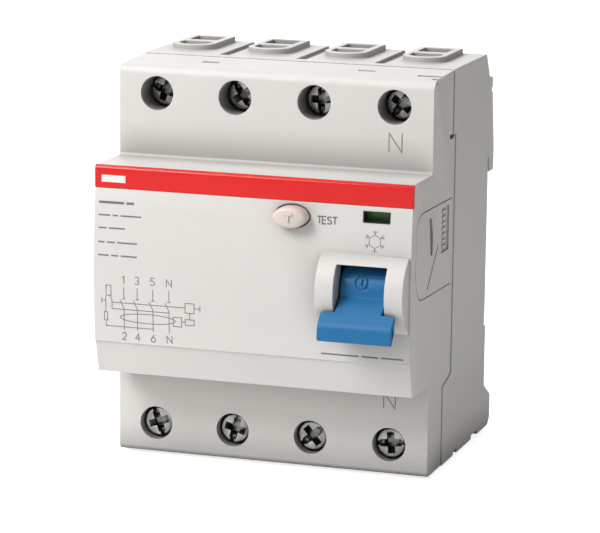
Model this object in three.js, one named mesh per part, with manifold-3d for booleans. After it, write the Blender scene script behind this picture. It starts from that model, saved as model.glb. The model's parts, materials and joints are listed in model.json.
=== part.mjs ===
// Four-pole residual current device for a 35 mm mounting rail.
// Millimetres. X runs left to right, -Y is the front, +Z is up.
// The origin is on the rail seat: Y = 0 is the face that the rail lies against.

import * as THREE from 'three';
import { mergeVertices } from 'three/addons/utils/BufferGeometryUtils.js';
import Module from 'manifold-3d';

const wasm = await Module();
wasm.setup();

// ---- driving dimensions -------------------------------------------------
const MODULE = 17.5;          // one pole
const POLES = 4;
const HALF_W = MODULE * POLES / 2;
const HALF_H = 42.5;          // half of the 85 mm body height
const SHOULDER = -44;         // face that the terminal screws are reached from
const NOSE_HALF = 22.4;       // half of the 45 mm window cut in a panel cover
const NOSE_TOP = -58.1;       // nose face just under the accent band
const NOSE_FOOT = -56.4;      // nose face at its lower edge
const NOSE_CREASE = -58.4;    // where the face starts to slope back
const CREASE_Z = -15.3;
const NOSE_CROWN = 0.8;       // bulge of the nose face
const BAND_HIGH = 4.8;        // accent band, measured down the nose
const BAND_SEAT = 0.9;        // depth of the rebate that the band lies in
const COVER_STEP = 0.2;       // cover lies this far inside the base at the seam
const COVER_FALL = 0.6;       // and its top this far below it at the front edge
const COVER_HALF = HALF_W - COVER_STEP;
const CREASE_STEP = 0.3;      // the slope below the crease starts this far back
const WALL = 2;
const BACK_WALL = 3.5;
const GAP = 0.3;              // clearance between pieces that meet
const SEAM = 0.25;            // joint line between cover and base

// seam between cover and base, from the top of the body to its underside
const SEAM_TOP = -29;
const SEAM_MID = -27.2;
const SEAM_LOW = -33.6;
const SEAM_STEP_Z = 28.3;
const SEAM_JOG_Z = [-23.4, -25.1];
const FOOT_Y = 6.2;           // rearmost face of hook and foot
const CLIP_TOP = -19;
const CLIP_LOW = -43.2;

// terminals
const SCREW_Z = 36;
const HOLE_R = 3.65;
const HEAD_R = 3.3;
const HEAD_T = 2.6;
const SHANK_R = 2.3;
const TOP_HEAD_FRONT = -39;
const LOW_HEAD_FRONT = -42.3;
const BAR_FRONT = -24.5;      // terminal bar, front face
const BAR_T = 1.5;
const CAGE_FRONT = -27.5;
const CAGE_BACK = -9.5;
const CAGE_HALF_W = 6;
const CAGE_HALF_H = 4.1;
const COLLAR_H = 1.25;        // rim round each wire entry
const COLLAR_SHIFT = -1;      // entries sit a little left of their screws
const SLEEVE_BACK = -34.5;    // inner end of the screw sleeves

// toggle
const LEVER_X = 25;
const LEVER_Y = -54.7;
const LEVER_Z = -0.4;
const BEZEL_R = 9;
const BEZEL_HALF = 9.4;
const WINDOW_HALF = 5.4;
const WINDOW_TOP = 5.6;
const WINDOW_LOW = -7.4;
const DRUM_R = 5.3;
const DRUM_HALF = 5;
const ROOM_R = 6.6;           // space round the drum for the neck to swing in
const PADDLE_HALF = 7.9;
const PIN_R = 0.9;            // pins of crank and horn
const CRANK_R = 8.5;
const CRANK_ANGLE = 30;       // crank above the horizontal when switched off

// contact shaft
const SHAFT_Y = -14;
const SHAFT_Z = 2;
const SHAFT_R = 3.5;
const CLOSE_ANGLE = 22;       // turn of the shaft from open to closed
const HORN_R = 11;
const HORN_ANGLE = 14;
const CARRIER_WALL = 0.3;     // the carrier's slots are this much wider than the arms

// summation ring, and the conductors that pass through it
const RING_X = -8.75;
const RING_Y = -17.5;
const RING_Z = [-19.5, -11];
const RING_IN = 7;
const RING_OUT = 12.4;
const WINDING_T = 0.7;
const WIRE_PITCH = 2.9;       // the four conductors lie side by side in the ring
const WIRE_R = 1.1;

// way points of a conductor between two ends: share of the way in X, in Y, and the height
const ROUTE_BELOW = {
  outer: [[0.45, 0.55, -23], [0.88, 0.98, -22.4]],
  inner: [[0.5, 0.25, -25], [1, 0.65, -24]],
};
const ROUTE_ABOVE = {
  outer: [[0.33, 0.3, -6.4], [0.8, 0.7, -6]],
  inner: [[0.05, 0.6, -8.6], [0.5, 0.85, -8.4]],
};

// button and indicator
const BUTTON_X = 9;
const BUTTON_Z = 14.5;
const BUTTON_HALF = [3.7, 2.2];
const BUTTON_TIP = -61.4;
const FLAG_X = 27.1;
const FLAG_Z = 15.3;

// trip relay
const RELAY_X = 14;
const RELAY_Y = -35.5;
const TRIP_Y = -31;
const TRIP_Z = -3.6;

// plug over the auxiliary contact's opening
const PLUG_T = 1.2;
const PLUG_GAP = 0.12;

const poleX = [...Array(POLES).keys()].map((i) => (i - (POLES - 1) / 2) * MODULE);
const radians = THREE.MathUtils.degToRad;

// ---- materials ----------------------------------------------------------
const finishes = {
  housing: { color: 0xd8d6d3, roughness: 0.5, metalness: 0 },
  accent: { color: 0xe6322f, roughness: 0.4, metalness: 0 },
  lever: { color: 0x3d84c0, roughness: 0.4, metalness: 0 },
  button: { color: 0xe4d8d0, roughness: 0.4, metalness: 0 },
  green: { color: 0x2c6a38, roughness: 0.5, metalness: 0 },
  zinc: { color: 0xb9bab8, roughness: 0.35, metalness: 1 },
  steel: { color: 0x8e9193, roughness: 0.4, metalness: 1 },
  copper: { color: 0xb5714a, roughness: 0.35, metalness: 1 },
  insulator: { color: 0x2e2f31, roughness: 0.6, metalness: 0 },
  ceramic: { color: 0xcfc3a8, roughness: 0.7, metalness: 0 },
  clip: { color: 0x3a3b3d, roughness: 0.55, metalness: 0 },
};

// ---- solids -------------------------------------------------------------
function solid(geometry) {
  const bare = geometry.clone();
  bare.deleteAttribute('normal');
  bare.deleteAttribute('uv');
  const merged = mergeVertices(bare, 1e-5);
  const mesh = new wasm.Mesh({
    numProp: 3,
    vertProperties: Float32Array.from(merged.attributes.position.array),
    triVerts: Uint32Array.from(merged.index.array),
  });
  return new wasm.Manifold(mesh);
}

function geometryOf(body) {
  const mesh = body.getMesh();
  const geometry = new THREE.BufferGeometry();
  geometry.setAttribute('position', new THREE.BufferAttribute(mesh.vertProperties, 3));
  geometry.setIndex(new THREE.BufferAttribute(mesh.triVerts, 1));
  geometry.computeVertexNormals();
  return geometry;
}

function block(x, y, z) {
  const geometry = new THREE.BoxGeometry(x[1] - x[0], y[1] - y[0], z[1] - z[0]);
  geometry.translate((x[0] + x[1]) / 2, (y[0] + y[1]) / 2, (z[0] + z[1]) / 2);
  return solid(geometry);
}

function outline(points) {
  return points instanceof THREE.Shape
    ? points
    : new THREE.Shape(points.map(([u, v]) => new THREE.Vector2(u, v)));
}

// an outline drawn in Y and Z, carried along X
function alongX(points, x, steps = 8) {
  const options = { depth: x[1] - x[0], bevelEnabled: false, curveSegments: steps };
  const geometry = new THREE.ExtrudeGeometry(outline(points), options);
  const turn = new THREE.Matrix4().makeBasis(
    new THREE.Vector3(0, 1, 0), new THREE.Vector3(0, 0, 1), new THREE.Vector3(1, 0, 0));
  geometry.applyMatrix4(turn);
  geometry.translate(x[0], 0, 0);
  return solid(geometry);
}

// an outline drawn in X and Z, carried along Y
function alongY(points, y, steps = 8) {
  const options = { depth: y[1] - y[0], bevelEnabled: false, curveSegments: steps };
  const geometry = new THREE.ExtrudeGeometry(outline(points), options);
  const turn = new THREE.Matrix4().makeBasis(
    new THREE.Vector3(1, 0, 0), new THREE.Vector3(0, 0, 1), new THREE.Vector3(0, -1, 0));
  geometry.applyMatrix4(turn);
  geometry.translate(0, y[1], 0);
  return solid(geometry);
}

// an outline drawn in X and Y, carried along Z
function alongZ(points, z, steps = 8) {
  const options = { depth: z[1] - z[0], bevelEnabled: false, curveSegments: steps };
  const geometry = new THREE.ExtrudeGeometry(outline(points), options);
  geometry.translate(0, 0, z[0]);
  return solid(geometry);
}

function rod(axis, radius, span, at, sides = 20) {
  const geometry = new THREE.CylinderGeometry(radius, radius, span[1] - span[0], sides);
  const middle = (span[0] + span[1]) / 2;
  if (axis === 'x') {
    geometry.rotateZ(-Math.PI / 2);
    geometry.translate(middle, at[0], at[1]);
  } else if (axis === 'y') {
    geometry.translate(at[0], middle, at[1]);
  } else {
    geometry.rotateX(Math.PI / 2);
    geometry.translate(at[0], at[1], middle);
  }
  return solid(geometry);
}

// a round wire along a smooth path
function wire(points, radius, steps, sides = 6) {
  const circle = new THREE.Shape();
  circle.absarc(0, 0, radius, 0, Math.PI * 2, false);
  const through = points.map((p) => new THREE.Vector3(...p));
  const path = new THREE.CatmullRomCurve3(through, false, 'centripetal');
  const options = { steps, extrudePath: path, curveSegments: sides / 2, bevelEnabled: false };
  return solid(new THREE.ExtrudeGeometry(circle, options));
}

function union(bodies) {
  return bodies.reduce((sum, body) => sum.add(body));
}

function less(body, cuts) {
  return cuts.reduce((rest, cut) => rest.subtract(cut), body);
}

function turnedAboutX(body, degrees) {
  const geometry = geometryOf(body);
  geometry.rotateX(radians(degrees));
  return solid(geometry);
}

// the same body turned half a turn about Y, for the underside
function flipped(body) {
  const geometry = geometryOf(body);
  geometry.rotateY(Math.PI);
  return solid(geometry);
}

// a point at this radius and angle above the Y axis; side -1 is towards the front
function polar(radius, degrees, side = 1) {
  return [side * radius * Math.cos(radians(degrees)), radius * Math.sin(radians(degrees))];
}

function part(name, body, finish, place = [0, 0, 0], turn = [0, 0, 0]) {
  const mesh = new THREE.Mesh(geometryOf(body), new THREE.MeshStandardMaterial(finishes[finish]));
  mesh.name = name;
  mesh.position.set(...place);
  mesh.rotation.set(...turn.map(radians));
  return mesh;
}

// ---- outlines that more than one piece uses -----------------------------
// pointed oval of the test button: two shallow arcs, rounded where they meet
function buttonOutline(grow) {
  const halfWide = BUTTON_HALF[0] + grow;
  const halfHigh = BUTTON_HALF[1] + grow;
  const shape = new THREE.Shape();
  const count = 20;
  for (let i = 0; i < count; i += 1) {
    const a = i / count * Math.PI * 2;
    const u = Math.sign(Math.cos(a)) * Math.abs(Math.cos(a)) ** 0.92 * halfWide;
    const v = Math.sign(Math.sin(a)) * Math.abs(Math.sin(a)) ** 1.12 * halfHigh;
    if (i === 0) shape.moveTo(BUTTON_X + u, BUTTON_Z + v);
    else shape.lineTo(BUTTON_X + u, BUTTON_Z + v);
  }
  shape.closePath();
  return shape;
}

// D-shaped terminal collar: straight at the back, rounded at the front
function collarOutline(halfWide, front, back, x) {
  const shape = new THREE.Shape();
  const start = front + halfWide * 0.8;
  shape.moveTo(x + halfWide, back);
  shape.lineTo(x - halfWide, back);
  shape.lineTo(x - halfWide, start);
  shape.absellipse(x, start, halfWide, start - front, Math.PI, Math.PI * 2, false, 0);
  shape.closePath();
  return shape;
}

// slightly crowned nose face from under the band down to the lower edge
function noseFace(inset) {
  const top = NOSE_HALF - BAND_HIGH;
  const points = [];
  const count = 8;
  for (let i = 0; i <= count; i += 1) {
    const t = i / count;
    const bulge = NOSE_CROWN * 4 * t * (1 - t);
    const y = NOSE_TOP + (NOSE_CREASE - NOSE_TOP) * t - bulge + inset;
    points.push([y, top + (CREASE_Z - top) * t]);
  }
  return points;
}

function coverProfile() {
  const shape = new THREE.Shape();
  const round = 1.8;
  const lowRound = 1.2;
  const soft = 0.4;
  const front = HALF_H - COVER_FALL;
  const seat = NOSE_TOP + BAND_SEAT;
  shape.moveTo(SEAM_TOP, HALF_H - COVER_STEP);
  shape.lineTo(SHOULDER + round, front);
  shape.absarc(SHOULDER + round, front - round, round, Math.PI / 2, Math.PI, false);
  shape.lineTo(SHOULDER, NOSE_HALF + soft);
  shape.lineTo(SHOULDER - soft, NOSE_HALF);
  shape.lineTo(seat, NOSE_HALF);
  shape.lineTo(seat, NOSE_HALF - BAND_HIGH);
  noseFace(0).forEach(([y, z]) => shape.lineTo(y, z));
  shape.lineTo(NOSE_CREASE + CREASE_STEP, CREASE_Z - 0.1);
  shape.lineTo(NOSE_FOOT, -NOSE_HALF + soft);
  shape.lineTo(NOSE_FOOT + soft, -NOSE_HALF);
  shape.lineTo(SHOULDER, -NOSE_HALF - 0.3);
  shape.lineTo(SHOULDER, -HALF_H + lowRound);
  shape.absarc(SHOULDER + lowRound, -HALF_H + lowRound, lowRound, Math.PI, Math.PI * 1.5, false);
  shape.lineTo(SEAM_LOW, -HALF_H);
  shape.lineTo(SEAM_LOW, SEAM_JOG_Z[1]);
  shape.lineTo(SEAM_MID, SEAM_JOG_Z[0]);
  shape.lineTo(SEAM_MID, SEAM_STEP_Z);
  shape.lineTo(SEAM_TOP, SEAM_STEP_Z);
  shape.closePath();
  return shape;
}

function coverCavity() {
  const inside = HALF_H - WALL;
  const back = -20;
  const behindBand = NOSE_TOP + BAND_SEAT + 1.9;
  const wall = 2.2;
  return [
    [back, inside], [SHOULDER + WALL, inside],
    [SHOULDER + WALL, NOSE_HALF - WALL], [behindBand, NOSE_HALF - WALL],
    [behindBand, NOSE_HALF - BAND_HIGH - 1.8],
    ...noseFace(wall).slice(1, -1),
    [NOSE_CREASE + wall, CREASE_Z], [NOSE_FOOT + wall, -NOSE_HALF + WALL],
    [SHOULDER + WALL, -NOSE_HALF + WALL], [SHOULDER + WALL, -inside], [back, -inside],
  ];
}

function baseProfile() {
  const shape = new THREE.Shape();
  shape.moveTo(SEAM_TOP + SEAM, HALF_H);
  shape.lineTo(SEAM_TOP + SEAM, SEAM_STEP_Z + SEAM);
  shape.lineTo(SEAM_MID + SEAM, SEAM_STEP_Z + SEAM);
  shape.lineTo(SEAM_MID + SEAM, SEAM_JOG_Z[0]);
  shape.lineTo(SEAM_LOW + SEAM, SEAM_JOG_Z[1]);
  shape.lineTo(SEAM_LOW + SEAM, -HALF_H);
  shape.lineTo(FOOT_Y - 1.5, -HALF_H);
  shape.lineTo(FOOT_Y, -HALF_H + 1.5);
  shape.lineTo(FOOT_Y, -35.6);
  shape.lineTo(0.9, -32.4);
  shape.lineTo(0.9, -18.6);
  shape.lineTo(-GAP, -18.6);
  shape.lineTo(-GAP, -15.9);
  shape.lineTo(0, -15.9);
  shape.lineTo(0, 15.6);
  shape.lineTo(-GAP, 15.6);
  shape.lineTo(-GAP, 37.6);
  shape.lineTo(-3, HALF_H);
  shape.closePath();
  return shape;
}

// fixed hook that hangs behind the upper lip of the rail
function hookProfile() {
  return [
    [-1, 18.9], [2.2, 18.9], [2.2, 16.1], [2.7, 15.6], [5.8, 15.6], [FOOT_Y, 16.6],
    [FOOT_Y, 21], [4.3, 33.4], [3.5, 33.4], [3.5, 34.2], [4.3, 34.2], [4.2, 36.4], [3.8, 36.8],
    [-1, 36.8],
  ];
}

// ---- housing ------------------------------------------------------------
function bezel() {
  const span = [LEVER_X - BEZEL_HALF, LEVER_X + BEZEL_HALF];
  const drum = rod('x', BEZEL_R, span, [LEVER_Y, LEVER_Z], 48);
  return drum.intersect(block([0, HALF_W], [-70, -57.2], [-20, 20]));
}

function leverRoom() {
  const spanX = [LEVER_X - WINDOW_HALF, LEVER_X + WINDOW_HALF];
  return union([
    block(spanX, [-70, -54], [WINDOW_LOW, WINDOW_TOP]),
    rod('x', ROOM_R, spanX, [LEVER_Y, LEVER_Z], 32),
    block([LEVER_X - 7.1, LEVER_X + 7.1], [-58.2, -50], [-6.5, 5.7]),
  ]);
}

function screwSleeve(x, z) {
  return rod('y', HOLE_R + 1.3, [SHOULDER + 1, SLEEVE_BACK], [x, z], 16)
    .intersect(block([-HALF_W, HALF_W], [-60, 0], [-HALF_H + 1, HALF_H - 1]));
}

// slots and notches in the cover's top, and the slit on each side where the seam steps
function latchSlots() {
  const out = HALF_H + 1;
  const slot = (x, y) => block([x - 1.8, x + 1.8], [y - 0.8, y + 0.8], [HALF_H - 3, out]);
  const slit = block([HALF_W - 1.4, HALF_W + 1], [-31.2, SEAM_TOP + 1], [27.9, 28.7]);
  return [
    slot(-17.2, -35.6),
    slot(17.5, -35.3),
    block([29.4, HALF_W + 1], [-38.9, -37.5], [HALF_H - 1.4, out]),
    block([33.6, HALF_W + 1], [-42.2, -40.9], [HALF_H - 1.7, out]),
    slit,
    slit.mirror([1, 0, 0]),
  ];
}

// pocket in the right-hand wall for the auxiliary contact, closed by a plug
function sidePocket(grow) {
  const shape = new THREE.Shape();
  shape.moveTo(-28.9 + grow, 15 + grow);
  shape.lineTo(-50.6, 15.4 + grow);
  shape.quadraticCurveTo(-54.4 - grow, 15 + grow, -55.2 - grow, 12.4);
  shape.lineTo(-55.5 - grow, 4);
  shape.quadraticCurveTo(-54.9 - grow, -2.2 - grow, -50.8, -2.7 - grow);
  shape.lineTo(-28.9 + grow, -3.3 - grow);
  shape.closePath();
  return shape;
}

function frontCover() {
  const shell = alongX(coverProfile(), [-COVER_HALF, COVER_HALF], 6)
    .subtract(alongX(coverCavity(), [-HALF_W + WALL, HALF_W - WALL]));
  const sleeves = poleX.flatMap((x) => [screwSleeve(x, SCREW_Z), screwSleeve(x, -SCREW_Z)]);
  const holes = poleX.flatMap((x) => [
    rod('y', HOLE_R, [SHOULDER - 5, SLEEVE_BACK + 0.5], [x, SCREW_Z], 28),
    rod('y', HOLE_R, [SHOULDER - 5, SLEEVE_BACK + 0.5], [x, -SCREW_Z], 28),
  ]);
  const bladeBoss = block([BUTTON_X - 3.2, BUTTON_X + 3.2], [-57.5, -50.8], [-0.4, 3.4])
    .subtract(block([BUTTON_X - 2.4, BUTTON_X + 2.4], [-52.6, -51.4], [0.6, 4]));
  const solidCover = union([shell, bezel(), bladeBoss, ...sleeves]);
  return less(solidCover, [
    ...holes,
    ...latchSlots(),
    leverRoom(),
    alongY(buttonOutline(0.25), [-62, -50]),
    block([FLAG_X - 2.9, FLAG_X + 2.9], [-62, -50], [FLAG_Z - 1.2, FLAG_Z + 1.2]),
    alongX(sidePocket(PLUG_GAP), [COVER_HALF - PLUG_T - GAP, HALF_W + 1], 6),
    block([HALF_W - 4, HALF_W], [-50, -31], [0, 12]),
  ]);
}

// plug with its curved slot, ribbed grip and diagonal crease
function sidePlug() {
  const plate = alongX(sidePocket(0), [COVER_HALF - PLUG_T, COVER_HALF], 6);
  const slot = alongX([
    [-45.8, 13.4], [-45.2, 9.4], [-44.5, 5.4], [-43.1, 5.4], [-42.8, 9.4], [-44.2, 13.4],
  ].reverse(), [HALF_W - 2, HALF_W + 1]);
  const crease = alongX([
    [-39, 6.9], [-38.7, 6.5], [-46.7, -1.6], [-47, -1.2],
  ].reverse(), [COVER_HALF - 0.25, HALF_W + 1]);
  const panel = block([COVER_HALF - 0.4, HALF_W + 1], [-36.4, -30.8], [4.4, 14]);
  const teeth = [...Array(7).keys()].map((i) => {
    const z = 5.2 + i * 1.25;
    return block([COVER_HALF - 0.6, COVER_HALF - 0.1], [-35.4, -32.6], [z, z + 0.6]);
  });
  return union([less(plate, [slot, panel, crease]), ...teeth]);
}

function accentBand() {
  const back = NOSE_TOP + BAND_SEAT;
  const low = NOSE_HALF - BAND_HIGH;
  const profile = [
    [back, NOSE_HALF], [back, low], [NOSE_TOP, low],
    [NOSE_TOP, NOSE_HALF - 0.6], [NOSE_TOP + 0.45, NOSE_HALF],
  ];
  return alongX(profile, [-COVER_HALF, COVER_HALF]);
}

function railChannel(x) {
  return union([
    block([x - 6.5, x + 6.5], [-2.7, -1.2], [-HALF_H - 3, CLIP_TOP + 0.6]),
    block([x - 5.3, x + 5.3], [-1.3, 8], [-HALF_H - 3, CLIP_TOP + 0.6]),
  ]);
}

// round-fronted hole for the wire, and the slot behind it for a busbar tooth
function wireEntry(x) {
  const low = HALF_H - WALL - 1;
  const high = HALF_H + 3;
  const middle = x + COLLAR_SHIFT;
  return [
    alongZ(collarOutline(3.4, -20.8, -14.9, middle), [low, high], 10),
    block([middle - 3.2, middle + 3.2], [-13, -6.4], [low, high]),
  ];
}

function busbarGroove(x) {
  return [
    block([x - 1.1, x + 1.1], [-26.2, -2.5], [HALF_H - 0.8, HALF_H + 1]),
    block([x - 0.5, x + 0.5], [-25.6, -23.6], [HALF_H - 1.8, HALF_H + 1]),
    block([x - 0.5, x + 0.5], [-16.5, -5], [HALF_H - 1.8, HALF_H + 1]),
  ];
}

function rearBase() {
  const inside = HALF_H - WALL;
  const shell = alongX(baseProfile(), [-HALF_W, HALF_W])
    .add(alongX(hookProfile(), [-HALF_W + 0.4, HALF_W - 0.4]));
  const cavity = alongX([
    [-45, inside], [-5.5, inside], [-BACK_WALL, 37.5], [-BACK_WALL, 35.2], [1.6, 33],
    [FOOT_Y - WALL, 20.8], [-BACK_WALL, 20.8], [-BACK_WALL, -inside], [-45, -inside],
  ], [-HALF_W + WALL, HALF_W - WALL]);
  const rim = [inside, HALF_H + COLLAR_H];
  const collar = (x) => collarOutline(4.8, -22.2, -4.9, x + COLLAR_SHIFT);
  const collars = poleX.map((x) => alongZ(collar(x), rim, 10));
  const intoWall = -BACK_WALL + 0.5;
  const shelfZ = [27.5, 29];
  const between = [-MODULE, 0, MODULE];
  const dividers = between
    .map((x) => block([x - 0.8, x + 0.8], [-28.5, intoWall], [shelfZ[0], inside + 0.5]));
  const shelf = block([-HALF_W + 1, HALF_W - 1], [-21.2, intoWall], shelfZ);
  const inner = [...dividers, shelf];
  const openings = poleX.flatMap(wireEntry);
  const grooves = between.flatMap(busbarGroove);
  const body = union([shell.subtract(cavity), ...collars, ...inner, ...inner.map(flipped)]);
  const middle = block([-HALF_W + 1.2, HALF_W - 1.2], [-60, 10], [-60, 0]);
  const footNotches = [[-24.2, -21.4], [-9.4, -4.4]].map((y) => {
    const across = block([-HALF_W - 1, HALF_W + 1], y, [-HALF_H - 0.2, -HALF_H + 0.9]);
    return across.subtract(middle);
  });
  return less(body, [
    ...openings, ...grooves, ...openings.map(flipped), ...grooves.map(flipped),
    ...footNotches, railChannel(-MODULE), railChannel(MODULE),
  ]);
}

function railClip() {
  const across = [-4.9, 4.9];
  const slide = block([-6.1, 6.1], [-2.4, -1.5], [CLIP_LOW, CLIP_TOP]);
  const rib = block(across, [-1.6, 1.6], [CLIP_LOW, CLIP_TOP]);
  const nose = alongX([
    [0.6, -26], [0.6, -18.9], [1.4, -18.9], [1.6, -18.2],
    [2.0, -16.3], [4.6, -17.2], [4.9, -19.5], [1.6, -26],
  ], across);
  const eye = block([-2.2, 2.2], [-4, 6], [-41.6, -40]);
  return union([slide, rib, nose]).subtract(eye);
}

// ---- terminals ----------------------------------------------------------
// combination head: a cross with a slot through it; Y = 0 is the head's front
function terminalScrew(length) {
  const edge = 0.35;
  const head = rod('y', HEAD_R, [edge, HEAD_T], [0, 0], 18);
  const crown = new THREE.CylinderGeometry(HEAD_R, HEAD_R - edge, edge, 18);
  crown.translate(0, edge / 2, 0);
  const shank = rod('y', SHANK_R, [HEAD_T - 0.2, length], [0, 0], 12);
  const long = [-2.4, 2.4];
  const wide = [-0.7, 0.7];
  const deep = [-1, 1.6];
  const cuts = [
    block([-4, 4], [-1, 0.9], [-0.5, 0.5]),
    block(long, deep, wide),
    block(wide, deep, long),
  ];
  return less(union([head, solid(crown), shank]), cuts);
}

// box clamp that rides on the screw and pulls the wire against the bar
function clampCage() {
  const wall = CAGE_HALF_W - 4.8;
  const width = [-CAGE_HALF_W, CAGE_HALF_W];
  const outer = block(width, [CAGE_FRONT, CAGE_BACK], [-CAGE_HALF_H, CAGE_HALF_H]);
  const roomX = [-CAGE_HALF_W + wall, CAGE_HALF_W - wall];
  const room = block(roomX, [CAGE_FRONT + 2.5, CAGE_BACK - 2], [-10, 10]);
  const thread = rod('y', SHANK_R + GAP, [-40, CAGE_FRONT + 3], [0, 0], 14);
  const ribY = [CAGE_BACK - 2.4, CAGE_BACK - 1.9];
  const ribs = [-2, 0, 2].map((z) => block([-3, 3], ribY, [z - 0.3, z + 0.3]));
  return union([less(outer, [room, thread]), ...ribs]);
}

// ---- current path -------------------------------------------------------
function contactDisc(y, z) {
  return rod('y', 2, y, [0, z], 12);
}

function fixedContact() {
  const back = BAR_FRONT + BAR_T;
  return union([
    block([-4.4, 4.4], [BAR_FRONT, back], [26, SCREW_Z + CAGE_HALF_H]),
    block([-3.4, 3.4], [BAR_FRONT, back], [12.6, 26.5]),
    contactDisc([back - 0.1, back + 1], 15.7),
  ]);
}

// contact arm drawn closed, relative to the shaft's axis
function armOutline(grow) {
  return [
    [-1.2 + grow, 3.9 - grow], [-5 + grow, 9.6], [-5 + grow, 16.2 + grow],
    [-6.5 - grow, 16.2 + grow], [-6.5 - grow, 9.1], [-2.6 - grow, 3.1 - grow],
  ];
}

function movingContact() {
  const arm = alongX(armOutline(0), [-3, 3]).add(contactDisc([-7.65, -6.4], 13.7));
  return turnedAboutX(arm, -CLOSE_ANGLE);
}

function contactCarrier() {
  const shaft = rod('x', SHAFT_R, [-31.5, 29.4], [0, 0], 20);
  const journal = rod('x', 2.2, [-32.6, 32.6], [0, 0], 14);
  const lugOutline = [[1.6, 2.6], [-1.6, 7.4], [-6.2, 5.6], [-3.2, 0.6]];
  const lugs = poleX.map((x) => alongX(lugOutline, [x - 4.3, x + 4.3]));
  const slots = poleX.map((x) => alongX(armOutline(CARRIER_WALL), [x - 3.3, x + 3.3]));
  const closed = less(union([shaft, journal, ...lugs]), slots);
  const open = turnedAboutX(closed, -CLOSE_ANGLE);
  const [tipY, tipZ] = polar(HORN_R, HORN_ANGLE, -1);
  const horn = alongX([
    [0, 3.2], [tipY, tipZ + 1.7], [tipY - 1.5, tipZ], [tipY, tipZ - 1.7], [0, -2],
  ], [22.6, 24.6]);
  const pin = rod('x', PIN_R, [24.4, 27.6], [tipY, tipZ], 12);
  return union([open, horn, pin]);
}

function wayPoints(from, to, shares) {
  return shares.map(([u, v, z]) => {
    const x = from[0] + (to[0] - from[0]) * u;
    const y = from[1] + (to[1] - from[1]) * v;
    return [x, y, z];
  });
}

function loadConductor(i) {
  const x = poleX[i];
  const kind = i === 0 || i === POLES - 1 ? 'outer' : 'inner';
  const back = BAR_FRONT + BAR_T;
  const inRing = [RING_X + (i - (POLES - 1) / 2) * WIRE_PITCH, RING_Y];
  const low = [x, back - 0.2];
  const high = [x, -10.5];
  const plate = block([x - 4.4, x + 4.4], [BAR_FRONT, back], [-SCREW_Z - CAGE_HALF_H, -27]);
  const run = wire([
    [x, BAR_FRONT + 0.75, -28.5], [...low, -26.5],
    ...wayPoints(low, inRing, ROUTE_BELOW[kind]),
    [...inRing, RING_Z[0] - 1], [...inRing, RING_Z[0] + 1],
    [...inRing, RING_Z[1] - 1], [...inRing, RING_Z[1] + 0.8],
    ...wayPoints(inRing, high, ROUTE_ABOVE[kind]),
    [...high, -6], [x, -9.8, -3.6],
  ], WIRE_R, 22, 8);
  return plate.add(run);
}

function summationRing() {
  const height = RING_Z[1] - RING_Z[0];
  const profile = [
    [RING_IN, 0], [RING_OUT, 0], [RING_OUT, height], [RING_IN, height], [RING_IN, 0],
  ];
  const ring = new THREE.LatheGeometry(profile.map(([r, z]) => new THREE.Vector2(r, z)), 28);
  ring.rotateX(Math.PI / 2);
  ring.translate(RING_X, RING_Y, RING_Z[0]);
  return solid(ring);
}

// sensing winding wrapped round a sector of the ring
function sensingWinding() {
  const low = RING_Z[0] - 1;
  const high = RING_Z[1] + 1;
  const sector = new THREE.Shape();
  const from = Math.PI * 1.2;
  const to = Math.PI * 1.8;
  sector.absarc(0, 0, RING_OUT + GAP + WINDING_T, from, to, false);
  sector.absarc(0, 0, RING_IN - GAP - WINDING_T, to, from, true);
  sector.closePath();
  const sleeve = alongZ(sector, [low, high], 8);
  const core = rod('z', RING_OUT + GAP, [RING_Z[0] - GAP, RING_Z[1] + GAP], [0, 0], 28);
  const eye = rod('z', RING_IN - GAP, [low - 5, high + 5], [0, 0], 24);
  const hollow = core.subtract(eye);
  const geometry = geometryOf(sleeve.subtract(hollow));
  geometry.translate(RING_X, RING_Y, 0);
  return solid(geometry);
}

// ---- mechanism ----------------------------------------------------------
// section of the paddle, drawn with the toggle at 0 and the pivot at the origin
function paddleOutline() {
  const crest = new THREE.Shape();
  crest.moveTo(-9, -3.35);
  crest.lineTo(-10.6, -4.75);
  crest.quadraticCurveTo(-11.6, -5.6, -11.75, -6.7);
  crest.lineTo(-11.95, -8.2);
  crest.quadraticCurveTo(-12, -9.1, -11.3, -9.15);
  crest.lineTo(-10.7, -9.1);
  crest.lineTo(-10.1, -7.9);
  crest.lineTo(-9.3, -7.2);
  crest.closePath();
  return crest;
}

function leverBody() {
  const drum = rod('x', DRUM_R, [-DRUM_HALF, DRUM_HALF], [0, 0], 40);
  const neck = alongX([
    [-3, -1], [-5.2, -0.75], [-9, -3.35], [-9.6, -4.4], [-9.6, -8], [-9, -7.3], [-2.4, -2.8],
  ], [-DRUM_HALF, DRUM_HALF]);
  const hollows = [-1, 1].map((side) => {
    const ends = [side * (PADDLE_HALF - 1.6), side * (PADDLE_HALF + 1)].sort((a, b) => a - b);
    return alongX([
      [-9.9, -5.4], [-10.8, -6.1], [-11.1, -8.1], [-10.7, -8.1], [-9.9, -6.9],
    ], ends);
  });
  const paddle = less(alongX(paddleOutline(), [-PADDLE_HALF, PADDLE_HALF], 5), hollows);
  const [tipY, tipZ] = polar(CRANK_R, CRANK_ANGLE);
  const crank = alongX([
    [1, 4], [tipY, tipZ + 1.7], [tipY + 1.6, tipZ], [tipY, tipZ - 1.7], [2, -2],
  ], [-2.4, -0.4]);
  const pin = rod('x', PIN_R, [-0.6, 2.6], [tipY, tipZ], 12);
  const bore = rod('x', 1.4, [-10, 10], [0, 0], 16);
  return union([drum, neck, paddle, crank, pin]).subtract(bore);
}

// where the link's two ends are when the toggle is at 0
function crankPin() {
  const [y, z] = polar(CRANK_R, CRANK_ANGLE);
  return [LEVER_Y + y, LEVER_Z + z];
}

function hornPin() {
  const [y, z] = polar(HORN_R, HORN_ANGLE, -1);
  return [SHAFT_Y + y, SHAFT_Z + z];
}

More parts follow.
